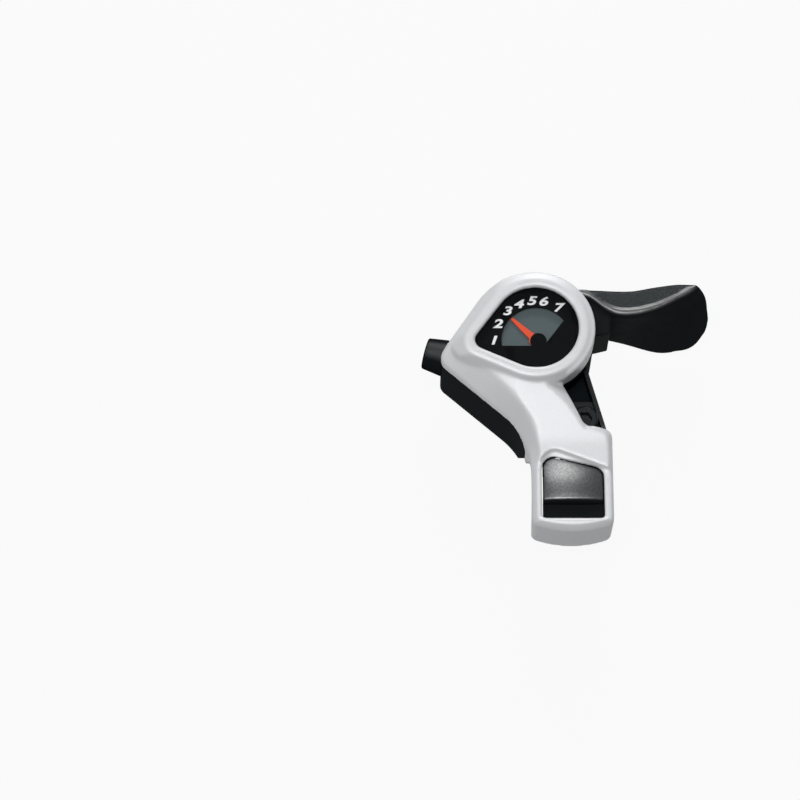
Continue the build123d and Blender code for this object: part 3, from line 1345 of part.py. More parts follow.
def main():
    """Build every piece and write it."""
    drive_spring_low = RATCHET_Z + (RATCHET_T - PAWL_T) / 2
    pieces = {
        "top_cover": make_top_cover(),
        "lower_housing": make_lower_housing(),
        "cover_screws": make_cover_screws(),
        "mounting_bracket": make_mounting_bracket(),
        "bracket_screws": make_bracket_screws(),
        "clamp_band": make_clamp_band(),
        "clamp_bolt": make_clamp_bolt(),
        "clamp_nut": make_clamp_nut(),
        "dial_lens": make_dial_lens(),
        "dial_mask": make_dial_mask(),
        "dial_tray": make_dial_tray(),
        "dial_screws": make_dial_screws(),
        "needle": make_needle(),
        "needle_carrier": make_needle_carrier(),
        "main_axle": make_main_axle(),
        "axle_nut": make_axle_nut(),
        "axle_washer": make_axle_washer(),
        "thrust_washer": make_thrust_washer(),
        "cable_spool": make_cable_spool(),
        "ratchet_wheel": make_ratchet_wheel(),
        "drive_pawl": make_pawl(DRIVE_PIVOT_DEG, DRIVE_TOOTH_DEG),
        "drive_pawl_pin": make_pawl_pin(DRIVE_PIVOT_DEG, LEVER_Z, LEVER_TOP_Z),
        "drive_pawl_spring": make_pawl_spring(
            DRIVE_PIVOT_DEG, DRIVE_PIVOT_DEG - 80, drive_spring_low, drive_spring_low + PAWL_T
        ),
        "hold_pawl": make_pawl(HOLD_PIVOT_DEG, HOLD_TOOTH_DEG),
        "hold_pawl_pin": make_pawl_pin(HOLD_PIVOT_DEG, PLATE_Z, PLATE_TOP_Z),
        "hold_pawl_spring": make_pawl_spring(
            HOLD_PIVOT_DEG, HOLD_PIVOT_DEG - 80, drive_spring_low, drive_spring_low + PAWL_T
        ),
        "thumb_lever": make_thumb_lever(),
        "lever_plate": make_lever_plate(),
        "lever_bush": make_lever_bush(),
        "lever_rivets": make_lever_rivets(),
        "lever_return_spring": make_lever_spring(),
        "release_button": make_release_button(),
        "button_pin": hinge_rod(HINGE_PIN_R),
        "button_spring": make_button_spring(),
        "release_arm": make_release_arm(),
        "adjuster_barrel": make_adjuster_barrel(),
    }
    os.makedirs("parts", exist_ok=True)
    for name, shape in pieces.items():
        export_step(shape, f"parts/{name}.step")


if __name__ == "__main__":
    main()
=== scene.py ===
"""Studio scene of a handlebar gear shifter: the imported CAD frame, dressed, lit and seen from above.

Every size is in metres in the CAD frame: the origin is the centre of the handlebar bore, +X runs
along the bar to the grip, +Y points forward and +Z is the way the dial faces.
"""

import json
import logging
import math
from collections.abc import Callable
from dataclasses import dataclass
from enum import Enum
from typing import Any

import bmesh
import bpy
from mathutils import Matrix, Vector

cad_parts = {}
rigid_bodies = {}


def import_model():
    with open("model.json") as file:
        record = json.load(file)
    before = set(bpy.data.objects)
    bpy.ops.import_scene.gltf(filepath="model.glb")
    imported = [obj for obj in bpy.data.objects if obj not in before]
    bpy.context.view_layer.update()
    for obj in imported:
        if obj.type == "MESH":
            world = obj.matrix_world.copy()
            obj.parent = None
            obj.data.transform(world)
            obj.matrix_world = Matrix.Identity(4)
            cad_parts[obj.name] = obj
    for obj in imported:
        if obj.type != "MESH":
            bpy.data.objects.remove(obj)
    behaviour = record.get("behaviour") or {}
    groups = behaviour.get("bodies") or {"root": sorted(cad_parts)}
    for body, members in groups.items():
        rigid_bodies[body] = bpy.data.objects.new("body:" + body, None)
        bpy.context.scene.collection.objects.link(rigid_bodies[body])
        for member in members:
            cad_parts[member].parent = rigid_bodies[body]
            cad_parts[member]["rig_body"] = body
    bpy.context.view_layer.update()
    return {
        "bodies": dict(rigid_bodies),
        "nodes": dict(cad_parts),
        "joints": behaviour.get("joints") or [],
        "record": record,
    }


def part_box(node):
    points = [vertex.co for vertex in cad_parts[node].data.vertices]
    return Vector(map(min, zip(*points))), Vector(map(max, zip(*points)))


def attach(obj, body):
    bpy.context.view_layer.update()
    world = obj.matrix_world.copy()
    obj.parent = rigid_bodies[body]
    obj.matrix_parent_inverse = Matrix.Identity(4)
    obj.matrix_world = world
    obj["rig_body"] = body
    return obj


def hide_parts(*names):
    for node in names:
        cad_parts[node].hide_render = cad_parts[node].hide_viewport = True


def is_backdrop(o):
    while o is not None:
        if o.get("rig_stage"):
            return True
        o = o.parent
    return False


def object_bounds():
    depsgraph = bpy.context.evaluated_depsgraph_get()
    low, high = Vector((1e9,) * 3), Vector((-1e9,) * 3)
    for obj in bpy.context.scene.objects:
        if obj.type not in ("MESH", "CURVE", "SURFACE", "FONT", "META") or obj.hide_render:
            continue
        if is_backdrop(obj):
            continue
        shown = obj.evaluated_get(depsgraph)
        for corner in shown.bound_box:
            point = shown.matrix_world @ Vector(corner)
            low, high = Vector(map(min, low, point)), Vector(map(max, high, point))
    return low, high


LOG = logging.getLogger("shifter")
MM = 0.001
RELAX_SHARE = 0.5

Color = tuple[float, float, float]
Place = tuple[float, float, float]


class Relief(Enum):
    """Fine relief that a finish carries."""

    NONE = "none"
    PEBBLE = "pebble"
    SATIN = "satin"
    BRUSHED = "brushed"


class Sheen(Enum):
    """Which of the faces that look up carry a clear sheen."""

    NONE = "none"
    ALL = "all of them"
    TOP = "those of the top zone, as strong as the relief is high"
    ABOVE = "those above the top zone"


class NodeGroups:
    """Shared shader node groups, each built once."""

    MOTTLE = "surface_mottle"
    PEBBLE = "pebble_relief"
    BRUSH = "brushed_relief"
    MOTTLE_DETAIL = 4.0
    MOTTLE_MIDDLE = 0.5
    PEBBLE_DETAIL = 3.0
    BRUSH_DETAIL = 2.0
    BRUSH_STRETCH = (0.06, 1.0, 1.0)

    @staticmethod
    def _new(
        name: str,
        inputs: dict[str, tuple[str, Any]],
        outputs: dict[str, str],
    ) -> tuple[Any, Any, Any]:
        """Start a node group with named sockets.

        Args:
            name: Name of the group.
            inputs: Socket type and default of each input, by its name.
            outputs: Socket type of each output, by its name.

        Returns:
            The group with its input node and its output node.
        """
        group = bpy.data.node_groups.new(name, "ShaderNodeTree")
        for label, (kind, default) in inputs.items():
            socket = group.interface.new_socket(name=label, in_out="INPUT", socket_type=kind)
            socket.default_value = default
        for label, kind in outputs.items():
            group.interface.new_socket(name=label, in_out="OUTPUT", socket_type=kind)
        return group, group.nodes.new("NodeGroupInput"), group.nodes.new("NodeGroupOutput")

    @classmethod
    def mottle(cls) -> Any:
        """Group that breaks up a colour and a roughness with soft noise.

        Returns:
            The node group.
        """
        if cls.MOTTLE in bpy.data.node_groups:
            return bpy.data.node_groups[cls.MOTTLE]
        group, entry, out = cls._new(
            cls.MOTTLE,
            {
                "Color": ("NodeSocketColor", (0.5, 0.5, 0.5, 1.0)),
                "Shade": ("NodeSocketColor", (0.4, 0.4, 0.4, 1.0)),
                "Scale": ("NodeSocketFloat", 400.0),
                "Roughness": ("NodeSocketFloat", 0.4),
                "Spread": ("NodeSocketFloat", 0.08),
            },
            {"Color": "NodeSocketColor", "Roughness": "NodeSocketFloat"},
        )
        links = group.links
        place = group.nodes.new("ShaderNodeTexCoord")
        noise = group.nodes.new("ShaderNodeTexNoise")
        noise.inputs["Detail"].default_value = cls.MOTTLE_DETAIL
        mix = group.nodes.new("ShaderNodeMix")
        mix.data_type = "RGBA"
        spread = group.nodes.new("ShaderNodeMath")
        spread.operation = "MULTIPLY_ADD"
        centred = group.nodes.new("ShaderNodeMath")
        centred.operation = "SUBTRACT"
        centred.inputs[1].default_value = cls.MOTTLE_MIDDLE
        links.new(place.outputs["Object"], noise.inputs["Vector"])
        links.new(entry.outputs["Scale"], noise.inputs["Scale"])
        links.new(noise.outputs["Fac"], mix.inputs["Factor"])
        links.new(entry.outputs["Color"], mix.inputs["A"])
        links.new(entry.outputs["Shade"], mix.inputs["B"])
        links.new(noise.outputs["Fac"], centred.inputs[0])
        links.new(centred.outputs[0], spread.inputs[0])
        links.new(entry.outputs["Spread"], spread.inputs[1])
        links.new(entry.outputs["Roughness"], spread.inputs[2])
        links.new(mix.outputs["Result"], out.inputs["Color"])
        links.new(spread.outputs[0], out.inputs["Roughness"])
        return group

    @classmethod
    def pebble(cls) -> Any:
        """Group that gives a pebbled relief, as spark-eroded moulds leave.

        Returns:
            The node group.
        """
        if cls.PEBBLE in bpy.data.node_groups:
            return bpy.data.node_groups[cls.PEBBLE]
        group, entry, out = cls._new(
            cls.PEBBLE,
            {"Scale": ("NodeSocketFloat", 1800.0), "Fineness": ("NodeSocketFloat", 2.2)},
            {"Height": "NodeSocketFloat"},
        )
        links = group.links
        place = group.nodes.new("ShaderNodeTexCoord")
        cells = group.nodes.new("ShaderNodeTexVoronoi")
        cells.feature = "SMOOTH_F1"
        noise = group.nodes.new("ShaderNodeTexNoise")
        noise.inputs["Detail"].default_value = cls.PEBBLE_DETAIL
        finer = group.nodes.new("ShaderNodeMath")
        finer.operation = "MULTIPLY"
        total = group.nodes.new("ShaderNodeMath")
        total.operation = "ADD"
        links.new(place.outputs["Object"], cells.inputs["Vector"])
        links.new(place.outputs["Object"], noise.inputs["Vector"])
        links.new(entry.outputs["Scale"], cells.inputs["Scale"])
        links.new(entry.outputs["Scale"], finer.inputs[0])
        links.new(entry.outputs["Fineness"], finer.inputs[1])
        links.new(finer.outputs[0], noise.inputs["Scale"])
        links.new(cells.outputs["Distance"], total.inputs[0])
        links.new(noise.outputs["Fac"], total.inputs[1])
        links.new(total.outputs[0], out.inputs["Height"])
        return group

    @classmethod
    def brush(cls) -> Any:
        """Group that gives fine parallel scratches on metal.

        Returns:
            The node group.
        """
        if cls.BRUSH in bpy.data.node_groups:
            return bpy.data.node_groups[cls.BRUSH]
        group, entry, out = cls._new(
            cls.BRUSH,
            {"Scale": ("NodeSocketFloat", 3000.0)},
            {"Height": "NodeSocketFloat"},
        )
        links = group.links
        place = group.nodes.new("ShaderNodeTexCoord")
        stretch = group.nodes.new("ShaderNodeMapping")
        stretch.inputs["Scale"].default_value = cls.BRUSH_STRETCH
        noise = group.nodes.new("ShaderNodeTexNoise")
        noise.inputs["Detail"].default_value = cls.BRUSH_DETAIL
        links.new(place.outputs["Object"], stretch.inputs["Vector"])
        links.new(stretch.outputs["Vector"], noise.inputs["Vector"])
        links.new(entry.outputs["Scale"], noise.inputs["Scale"])
        links.new(noise.outputs["Fac"], out.inputs["Height"])
        return group


@dataclass(frozen=True)
class Finish:
    """A surface finish that becomes one material.

    The shade is the darker colour that mottling mixes in, and the relief gives the bump.
    The top zone is the faces that look up within a band of heights: with a band, the top colour
    and the relief keep to it. The top colour is a painted highlight, a lighter colour on those
    upward faces that stands in for the lamps' light falling on them. A face starts to look up
    where its normal's height passes the lower facing value, and does so fully at the upper one.
    """

    name: str
    color: Color
    shade: Color
    roughness: float
    spread: float = 0.06
    mottle_scale: float = 400.0
    metallic: float = 0.0
    coat: float = 0.0
    alpha: float = 1.0
    specular: float = 0.5
    relief: Relief = Relief.NONE
    relief_scale: float = 1800.0
    relief_depth: float = 0.02
    top_level: float = 0.0
    top_band: float = 0.0
    # painted highlight: lighter colour mixed onto the upward faces of the top zone, standing in for
    # lamp light falling there
    top_painted_highlight: Color = (0.5, 0.5, 0.5)
    top_roughness: float = 0.6
    sheen: Sheen = Sheen.NONE
    sheen_roughness: float = 0.12
    sheen_index: float = 1.5
    facing_low: float = 0.80
    facing_high: float = 0.97

    def material(self) -> Any:
        """Build the material, or hand back the one already built.

        Returns:
            The material.
        """
        label = f"{self.name}_finish"
        if label in bpy.data.materials:
            return bpy.data.materials[label]
        material = bpy.data.materials.new(label)
        material.use_nodes = True
        nodes = material.node_tree.nodes
        links = material.node_tree.links
        shader = nodes["Principled BSDF"]
        even = {
            "Metallic": self.metallic,
            "Coat Weight": self.coat,
            "Coat Roughness": self.sheen_roughness,
            "Coat IOR": self.sheen_index,
            "Alpha": self.alpha,
            "Specular IOR Level": self.specular,
        }
        for socket, value in even.items():
            shader.inputs[socket].default_value = value
        mottle = self._group(nodes, NodeGroups.mottle())
        varied = {
            "Color": (*self.color, 1.0),
            "Shade": (*self.shade, 1.0),
            "Scale": self.mottle_scale,
            "Roughness": self.roughness,
            "Spread": self.spread,
        }
        for socket, value in varied.items():
            mottle.inputs[socket].default_value = value
        color = mottle.outputs["Color"]
        rough = mottle.outputs["Roughness"]
        facing = mask = height = None
        if self.top_band or self.sheen is not Sheen.NONE:
            facing = self._facing_up(nodes, links)
        if self.top_band:
            near = self._height_test(nodes, links, "COMPARE", self.top_level)
            mask = self._math(nodes, links, "MULTIPLY", facing, near)
            # paint a lighter highlight colour onto the upward faces of the top zone, standing in for
            # lamp light
            color = self._blend_painted_highlight(nodes, links, mask, color)
            rough = self._blend_value(nodes, links, mask, rough, self.top_roughness)
        links.new(color, shader.inputs["Base Color"])
        links.new(rough, shader.inputs["Roughness"])
        if self.relief is not Relief.NONE:
            height = self._add_relief(nodes, links, shader, mask)
        coat = shader.inputs["Coat Weight"]
        if self.sheen is Sheen.ALL:
            links.new(facing, coat)
        elif self.sheen is Sheen.TOP:
            links.new(height, coat)
        elif self.sheen is Sheen.ABOVE:
            level = self.top_level + self.top_band
            above = self._height_test(nodes, links, "GREATER_THAN", level)
            links.new(self._math(nodes, links, "MULTIPLY", facing, above), coat)
        return material

    @staticmethod
    def _group(nodes: Any, group: Any) -> Any:
        """Place a shared node group in a material.

        Args:
            nodes: Nodes of the material.
            group: The node group.

        Returns:
            The group's node.
        """
        node = nodes.new("ShaderNodeGroup")
        node.node_tree = group
        return node

    @staticmethod
    def _math(nodes: Any, links: Any, operation: str, first: Any, second: Any) -> Any:
        """Join two values by a math operation.

        Args:
            nodes: Nodes of the material.
            links: Links of the material.
            operation: Name of the operation.
            first: Socket of the first value.
            second: Socket of the second value.

        Returns:
            The result's socket.
        """
        node = nodes.new("ShaderNodeMath")
        node.operation = operation
        links.new(first, node.inputs[0])
        links.new(second, node.inputs[1])
        return node.outputs[0]

    def _facing_up(self, nodes: Any, links: Any) -> Any:
        """Mask that is 1 where a face looks up along the dial axis.

        Args:
            nodes: Nodes of the material.
            links: Links of the material.

        Returns:
            The mask's socket.
        """
        place = nodes.new("ShaderNodeTexCoord")
        split = nodes.new("ShaderNodeSeparateXYZ")
        ramp = nodes.new("ShaderNodeMapRange")
        ramp.inputs["From Min"].default_value = self.facing_low
        ramp.inputs["From Max"].default_value = self.facing_high
        links.new(place.outputs["Normal"], split.inputs[0])
        links.new(split.outputs["Z"], ramp.inputs["Value"])
        return ramp.outputs["Result"]

    def _height_test(self, nodes: Any, links: Any, operation: str, level: float) -> Any:
        """Mask that is 1 where the height passes a test.

        Args:
            nodes: Nodes of the material.
            links: Links of the material.
            operation: COMPARE for heights within the top band of a level, GREATER_THAN for those
                above it.
            level: The level.

        Returns:
            The mask's socket.
        """
        place = nodes.new("ShaderNodeTexCoord")
        split = nodes.new("ShaderNodeSeparateXYZ")
        test = nodes.new("ShaderNodeMath")
        test.operation = operation
        test.inputs[1].default_value = level
        test.inputs[2].default_value = self.top_band
        links.new(place.outputs["Object"], split.inputs[0])
        links.new(split.outputs["Z"], test.inputs[0])
        return test.outputs[0]

    def _blend_painted_highlight(self, nodes: Any, links: Any, mask: Any, color: Any) -> Any:
        """Mix the painted highlight in: a lighter colour on the upper faces that stands in for lamp
        light falling on them.

        Args:
            nodes: Nodes of the material.
            links: Links of the material.
            mask: Socket of the mask.
            color: Socket of the colour elsewhere.

        Returns:
            The mixed colour's socket.
        """
        mix = nodes.new("ShaderNodeMix")
        mix.data_type = "RGBA"
        mix.inputs["B"].default_value = (*self.top_painted_highlight, 1.0)
        links.new(mask, mix.inputs["Factor"])
        links.new(color, mix.inputs["A"])
        return mix.outputs["Result"]

    @staticmethod
    def _blend_value(nodes: Any, links: Any, mask: Any, value: Any, top: float) -> Any:
        """Mix a value of the upper faces in.

        Args:
            nodes: Nodes of the material.
            links: Links of the material.
            mask: Socket of the mask.
            value: Socket of the value elsewhere.
            top: The value on upper faces.

        Returns:
            The mixed value's socket.
        """
        mix = nodes.new("ShaderNodeMix")
        mix.inputs["B"].default_value = top
        links.new(mask, mix.inputs["Factor"])
        links.new(value, mix.inputs["A"])
        return mix.outputs["Result"]

    def _add_relief(self, nodes: Any, links: Any, shader: Any, mask: Any) -> Any:
        """Add the fine bump of this finish.

        Args:
            nodes: Nodes of the material.
            links: Links of the material.
            shader: The Principled shader.
            mask: Socket of the mask, or None where the relief is all over.

        Returns:
            The socket of the relief's height.
        """
        brushed = self.relief is Relief.BRUSHED
        source = self._group(nodes, NodeGroups.brush() if brushed else NodeGroups.pebble())
        source.inputs["Scale"].default_value = self.relief_scale
        height = source.outputs["Height"]
        if mask is not None:
            height = self._math(nodes, links, "MULTIPLY", height, mask)
        bump = nodes.new("ShaderNodeBump")
        bump.inputs["Strength"].default_value = 1.0
        bump.inputs["Distance"].default_value = self.relief_depth * MM
        links.new(height, bump.inputs["Height"])
        links.new(bump.outputs["Normal"], shader.inputs["Normal"])
        return height


SILVER_LACQUER = Finish(
    "silver_lacquer",
    color=(0.74, 0.75, 0.77),
    shade=(0.64, 0.65, 0.67),
    roughness=0.44,
    spread=0.05,
    mottle_scale=2600.0,
    metallic=0.15,
    specular=0.30,
)
HOUSING_BLACK = Finish(
    "housing_black",
    color=(0.0085, 0.0110, 0.0130),
    shade=(0.0060, 0.0080, 0.0100),
    roughness=0.50,
    mottle_scale=300.0,
    specular=0.0,
    coat=0.035,
    sheen_roughness=0.25,
    relief=Relief.SATIN,
    relief_scale=4200.0,
    relief_depth=0.003,
)
LEVER_BLACK = Finish(
    "lever_black",
    color=(0.006, 0.008, 0.009),
    shade=(0.004, 0.006, 0.007),
    roughness=0.85,
    mottle_scale=500.0,
    specular=0.16,
    relief=Relief.PEBBLE,
    relief_scale=1300.0,
    relief_depth=0.16,
    top_level=10.5 * MM,
    top_band=0.12 * MM,
    # painted highlight: the pebbled top flange is drawn lighter than the black plastic, for the
    # overhead lamp's light on it
    top_painted_highlight=(0.030, 0.035, 0.037),
    top_roughness=0.30,
    sheen=Sheen.ABOVE,
    sheen_roughness=0.40,
    sheen_index=2.0,
    facing_low=0.65,
)
BUTTON_BLACK = Finish(
    "button_black",
    color=(0.012, 0.014, 0.015),
    shade=(0.008, 0.010, 0.011),
    roughness=0.40,
    mottle_scale=900.0,
    specular=0.0,
    relief=Relief.PEBBLE,
    relief_scale=1900.0,
    relief_depth=0.04,
    top_level=16.5 * MM,
    top_band=2.0 * MM,
    # painted highlight: the pad's top is drawn lighter than the black plastic, for the overhead
    # lamp's light on it
    top_painted_highlight=(0.040, 0.045, 0.048),
    top_roughness=0.42,
    sheen=Sheen.TOP,
    sheen_roughness=0.30,
    sheen_index=1.85,
)
BARREL_BLACK = Finish(
    "barrel_black",
    color=(0.012, 0.014, 0.016),
    shade=(0.008, 0.010, 0.011),
    roughness=0.48,
    specular=0.0,
    relief=Relief.SATIN,
    relief_scale=5000.0,
    relief_depth=0.006,
    sheen=Sheen.ALL,
    sheen_roughness=0.55,
)
CLEAR_LENS = Finish(
    "clear_lens",
    color=(0.030, 0.034, 0.038),
    shade=(0.022, 0.026, 0.030),
    roughness=0.06,
    spread=0.02,
    alpha=0.04,
)
DIAL_BLACK = Finish(
    "dial_black",
    color=(0.0045, 0.0050, 0.0060),
    shade=(0.0030, 0.0034, 0.0040),
    roughness=0.55,
    mottle_scale=700.0,
    specular=0.05,
)
DIAL_GREY = Finish(
    "dial_grey",
    color=(0.118, 0.150, 0.158),
    shade=(0.105, 0.136, 0.144),
    roughness=0.6,
    mottle_scale=900.0,
    specular=0.05,
)
NEEDLE_ORANGE = Finish(
    "needle_orange",
    color=(0.93, 0.12, 0.055),
    shade=(0.84, 0.10, 0.045),
    roughness=0.42,
    mottle_scale=600.0,
    specular=0.10,
)
NUMERAL_WHITE = Finish(
    "numeral_white",
    color=(0.93, 0.94, 0.95),
    shade=(0.87, 0.88, 0.90),
    roughness=0.5,
    specular=0.05,
)
BLACK_STEEL = Finish(
    "black_steel",
    color=(0.020, 0.023, 0.025),
    shade=(0.013, 0.015, 0.016),
    roughness=0.38,
    metallic=0.75,
    relief=Relief.BRUSHED,
    relief_depth=0.004,
)
ZINC_STEEL = Finish(
    "zinc_steel",
    color=(0.56, 0.57, 0.58),
    shade=(0.44, 0.45, 0.46),
    roughness=0.34,
    metallic=1.0,
    relief=Relief.BRUSHED,
    relief_depth=0.004,
)
SPRING_STEEL = Finish(
    "spring_steel",
    color=(0.46, 0.46, 0.47),
    shade=(0.34, 0.34, 0.35),
    roughness=0.26,
    metallic=1.0,
)
BUSH_BRASS = Finish(
    "bush_brass",
    color=(0.72, 0.53, 0.23),
    shade=(0.58, 0.41, 0.16),
    roughness=0.3,
    metallic=1.0,
)
WHITE_NYLON = Finish(
    "white_nylon",
    color=(0.72, 0.72, 0.69),
    shade=(0.65, 0.65, 0.62),
    roughness=0.5,
)


@dataclass
class SubAssembly:
    """A group of CAD nodes that is dressed together."""

    frame: dict[str, Any]
    edge_width: float = 0.25 * MM
    edge_steps: int = 3
    edge_angle: float = 22.0
    skin_rounds: int = 6
    join_distance: float = 0.002 * MM
    flat_angle: float = 0.2

    def soften(self, node: str, finish: Finish, width: float | None = None) -> Any:
        """Stand a copy of a CAD node with softened edges in its place.

        Args:
            node: Name of the CAD node.
            finish: Finish of the piece.
            width: Width of the softened edge, or None for this group's own.

        Returns:
            The new object.
        """
        mesh = self.merged(node)
        mesh.shade_smooth()
        mesh.set_sharp_from_angle(angle=math.radians(self.edge_angle))
        piece = self.stand_in(node, mesh, finish)
        bevel = piece.modifiers.new("soft_edges", "BEVEL")
        bevel.width = self.edge_width if width is None else width
        bevel.segments = self.edge_steps
        bevel.limit_method = "ANGLE"
        bevel.angle_limit = math.radians(self.edge_angle)
        bevel.harden_normals = True
        bevel.miter_outer = "MITER_ARC"
        LOG.info("softened %s", node)
        return piece

    def mould_skin(
        self,
        node: str,
        finish: Finish,
        size: float,
        touch: Callable[[Any], None] | None = None,
    ) -> Any:
        """Stand a copy of a CAD node with an even skin and rounded-over edges in its place.

        Args:
            node: Name of the CAD node.
            finish: Finish of the piece.
            size: Size of the skin's faces.
            touch: Last touch given to the piece's bmesh, if any.

        Returns:
            The new object.
        """
        blank = bpy.data.objects.new(f"{node}_blank", self.merged(node))
        bpy.context.scene.collection.objects.link(blank)
        skin = blank.modifiers.new("even_skin", "REMESH")
        skin.mode = "VOXEL"
        skin.voxel_size = size
        mesh = self.settled(blank)
        shape = bmesh.new()
        shape.from_mesh(mesh)
        for _ in range(self.skin_rounds):
            self.relax(shape, shape.verts)
        if touch is not None:
            touch(shape)
        shape.to_mesh(mesh)
        shape.free()
        mesh.shade_smooth()
        LOG.info("moulded %s from %d faces", node, len(mesh.polygons))
        return self.stand_in(node, mesh, finish)

    @staticmethod
    def settled(draft: Any) -> Any:
        """Take the mesh that a draft's modifiers or text make, and delete the draft.

        Args:
            draft: The draft object, in the scene.

        Returns:
            The new mesh.
        """
        bpy.context.view_layer.update()
        final = draft.evaluated_get(bpy.context.evaluated_depsgraph_get())
        mesh = bpy.data.meshes.new_from_object(final)
        bpy.data.objects.remove(draft)
        return mesh

    @staticmethod
    def relax(shape: Any, verts: Any) -> None:
        """Even out some vertices of a mesh by one round of smoothing.

        Args:
            shape: The bmesh.
            verts: Its vertices to smooth.
        """
        bmesh.ops.smooth_vert(
            shape,
            verts=verts,
            factor=RELAX_SHARE,
            use_axis_x=True,
            use_axis_y=True,
            use_axis_z=True,
        )

    def merged(self, node: str) -> Any:
        """Copy of a CAD node's mesh with its triangles joined.

        Args:
            node: Name of the CAD node.

        Returns:
            The new mesh.
        """
        mesh = self.frame["nodes"][node].data.copy()
        mesh.name = f"{node}_dressed"
        shape = bmesh.new()
        shape.from_mesh(mesh)
        bmesh.ops.remove_doubles(shape, verts=shape.verts, dist=self.join_distance)
        bmesh.ops.dissolve_limit(
            shape,
            angle_limit=math.radians(self.flat_angle),
            use_dissolve_boundaries=False,
            verts=shape.verts,
            edges=shape.edges,
            delimit={"NORMAL"},
        )
        shape.to_mesh(mesh)
        shape.free()
        for label in ("custom_normal", "sharp_edge", "sharp_face"):
            if label in mesh.attributes:
                mesh.attributes.remove(mesh.attributes[label])
        return mesh

    def stand_in(self, node: str, mesh: Any, finish: Finish) -> Any:
        """Stand a mesh in the place of a CAD node, on the node's own body.

        Args:
            node: Name of the CAD node.
            mesh: The mesh.
            finish: Finish of the piece.

        Returns:
            The new object.
        """
        piece = bpy.data.objects.new(f"{node}_dressed", mesh)
        bpy.context.scene.collection.objects.link(piece)
        self.paint(piece, finish)
        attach(piece, self.frame["nodes"][node]["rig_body"])
        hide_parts(node)
        return piece

    @staticmethod
    def paint(piece: Any, finish: Finish) -> None:
        """Give a piece one finish all over."""
        piece.data.materials.clear()
        piece.data.materials.append(finish.material())

    def paint_nodes(self, nodes: list[str], finish: Finish) -> None:
        """Give several CAD nodes one finish.

        Args:
            nodes: Names of the nodes.
            finish: The finish.
        """
        for node in nodes:
            self.paint(self.frame["nodes"][node], finish)
            LOG.info("painted %s", node)


@dataclass
class Housing(SubAssembly):
    """Silver cover over the black lower shell."""

    cover_skin: float = 0.45 * MM
    shell_edge: float = 0.3 * MM

    def dress(self) -> None:
        """Mould the cover, soften the lower shell and paint their screws."""
        self.mould_skin("top_cover", SILVER_LACQUER, self.cover_skin)
        self.soften("lower_housing", HOUSING_BLACK, self.shell_edge)
        self.paint_nodes(["cover_screws", "bracket_screws", "dial_screws"], ZINC_STEEL)


@dataclass
class Clamp(SubAssembly):
    """Bracket, band, bolt and nut that hold the shifter on the bar."""

    edge_width: float = 0.2 * MM

    def dress(self) -> None:
        """Soften and paint the clamp's steel pieces."""
        for node in ("mounting_bracket", "clamp_band", "clamp_bolt"):
            self.soften(node, BLACK_STEEL)
        self.soften("clamp_nut", ZINC_STEEL)


@dataclass
class Dial(SubAssembly):
    """Gear dial: lens, mask with numbers, tray and needle."""

    needle_edge: float = 0.12 * MM
    capital_share: float = 0.72
    number_height: float = 2.9 * MM
    number_slant: float = 0.22
    number_weight: float = 0.045
    number_spread: float = 1.45
    number_relief: float = 0.03 * MM
    number_reach: float = 13.3 * MM
    number_angles: tuple[float, ...] = (181.0, 156.0, 132.5, 113.5, 95.0, 79.0, 55.0)

    def dress(self) -> None:
        """Paint the dial's pieces and print its numbers."""
        self.paint_nodes(["dial_lens"], CLEAR_LENS)
        self.paint_nodes(["dial_mask"], DIAL_BLACK)
        self.paint_nodes(["dial_tray"], DIAL_GREY)
        self.soften("needle", NEEDLE_ORANGE, self.needle_edge)
        for index, angle in enumerate(self.number_angles):
            self.print_number(str(index + 1), angle)

    def axle(self) -> Vector:
        """Centre of the main axle, from the joint that turns the winder."""
        joint = next(j for j in self.frame["joints"] if j["name"] == "gear_index")
        return Vector(joint["pos_m"])

    def print_number(self, label: str, angle: float) -> Any:
        """Print one number on the mask.

        Args:
            label: The number.
            angle: Its place round the axle, in degrees.

        Returns:
            The number's mesh object.
        """
        words = bpy.data.curves.new(f"number_{label}_text", "FONT")
        words.body = label
        words.size = self.number_height / self.capital_share
        words.shear = self.number_slant
        words.bevel_depth = self.number_weight * self.number_height
        words.bevel_resolution = 0
        words.extrude = words.bevel_depth
        words.align_x = "CENTER"
        words.align_y = "CENTER"
        writer = bpy.data.objects.new(f"number_{label}_text", words)
        bpy.context.scene.collection.objects.link(writer)
        mesh = self.settled(writer)
        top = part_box("dial_mask")[1].z
        axle = self.axle()
        x = axle.x + self.number_reach * math.cos(math.radians(angle))
        y = axle.y + self.number_reach * math.sin(math.radians(angle))
        lows = [min(v.co[i] for v in mesh.vertices) for i in (0, 1, 2)]
        highs = [max(v.co[i] for v in mesh.vertices) for i in (0, 1, 2)]
        mid = Vector((low + high) / 2 for low, high in zip(lows, highs))
        thin = self.number_relief / (highs[2] - lows[2])
        widen = Matrix.Diagonal((self.number_spread, 1.0, thin, 1.0))
        place = Matrix.Translation((x, y, top + self.number_relief / 2))
        mesh.transform(place @ widen @ Matrix.Translation(-mid))
        piece = bpy.data.objects.new(f"number_{label}", mesh)
        bpy.context.scene.collection.objects.link(piece)
        self.paint(piece, NUMERAL_WHITE)
        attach(piece, "housing")
        LOG.info("printed number %s", label)
        return piece


@dataclass(frozen=True)
class Swell:
    """A soft push on a skin: its place, its way and reach, and how often it is smoothed."""

    place: Place
    push: Place
    reach: float
    rounds: int


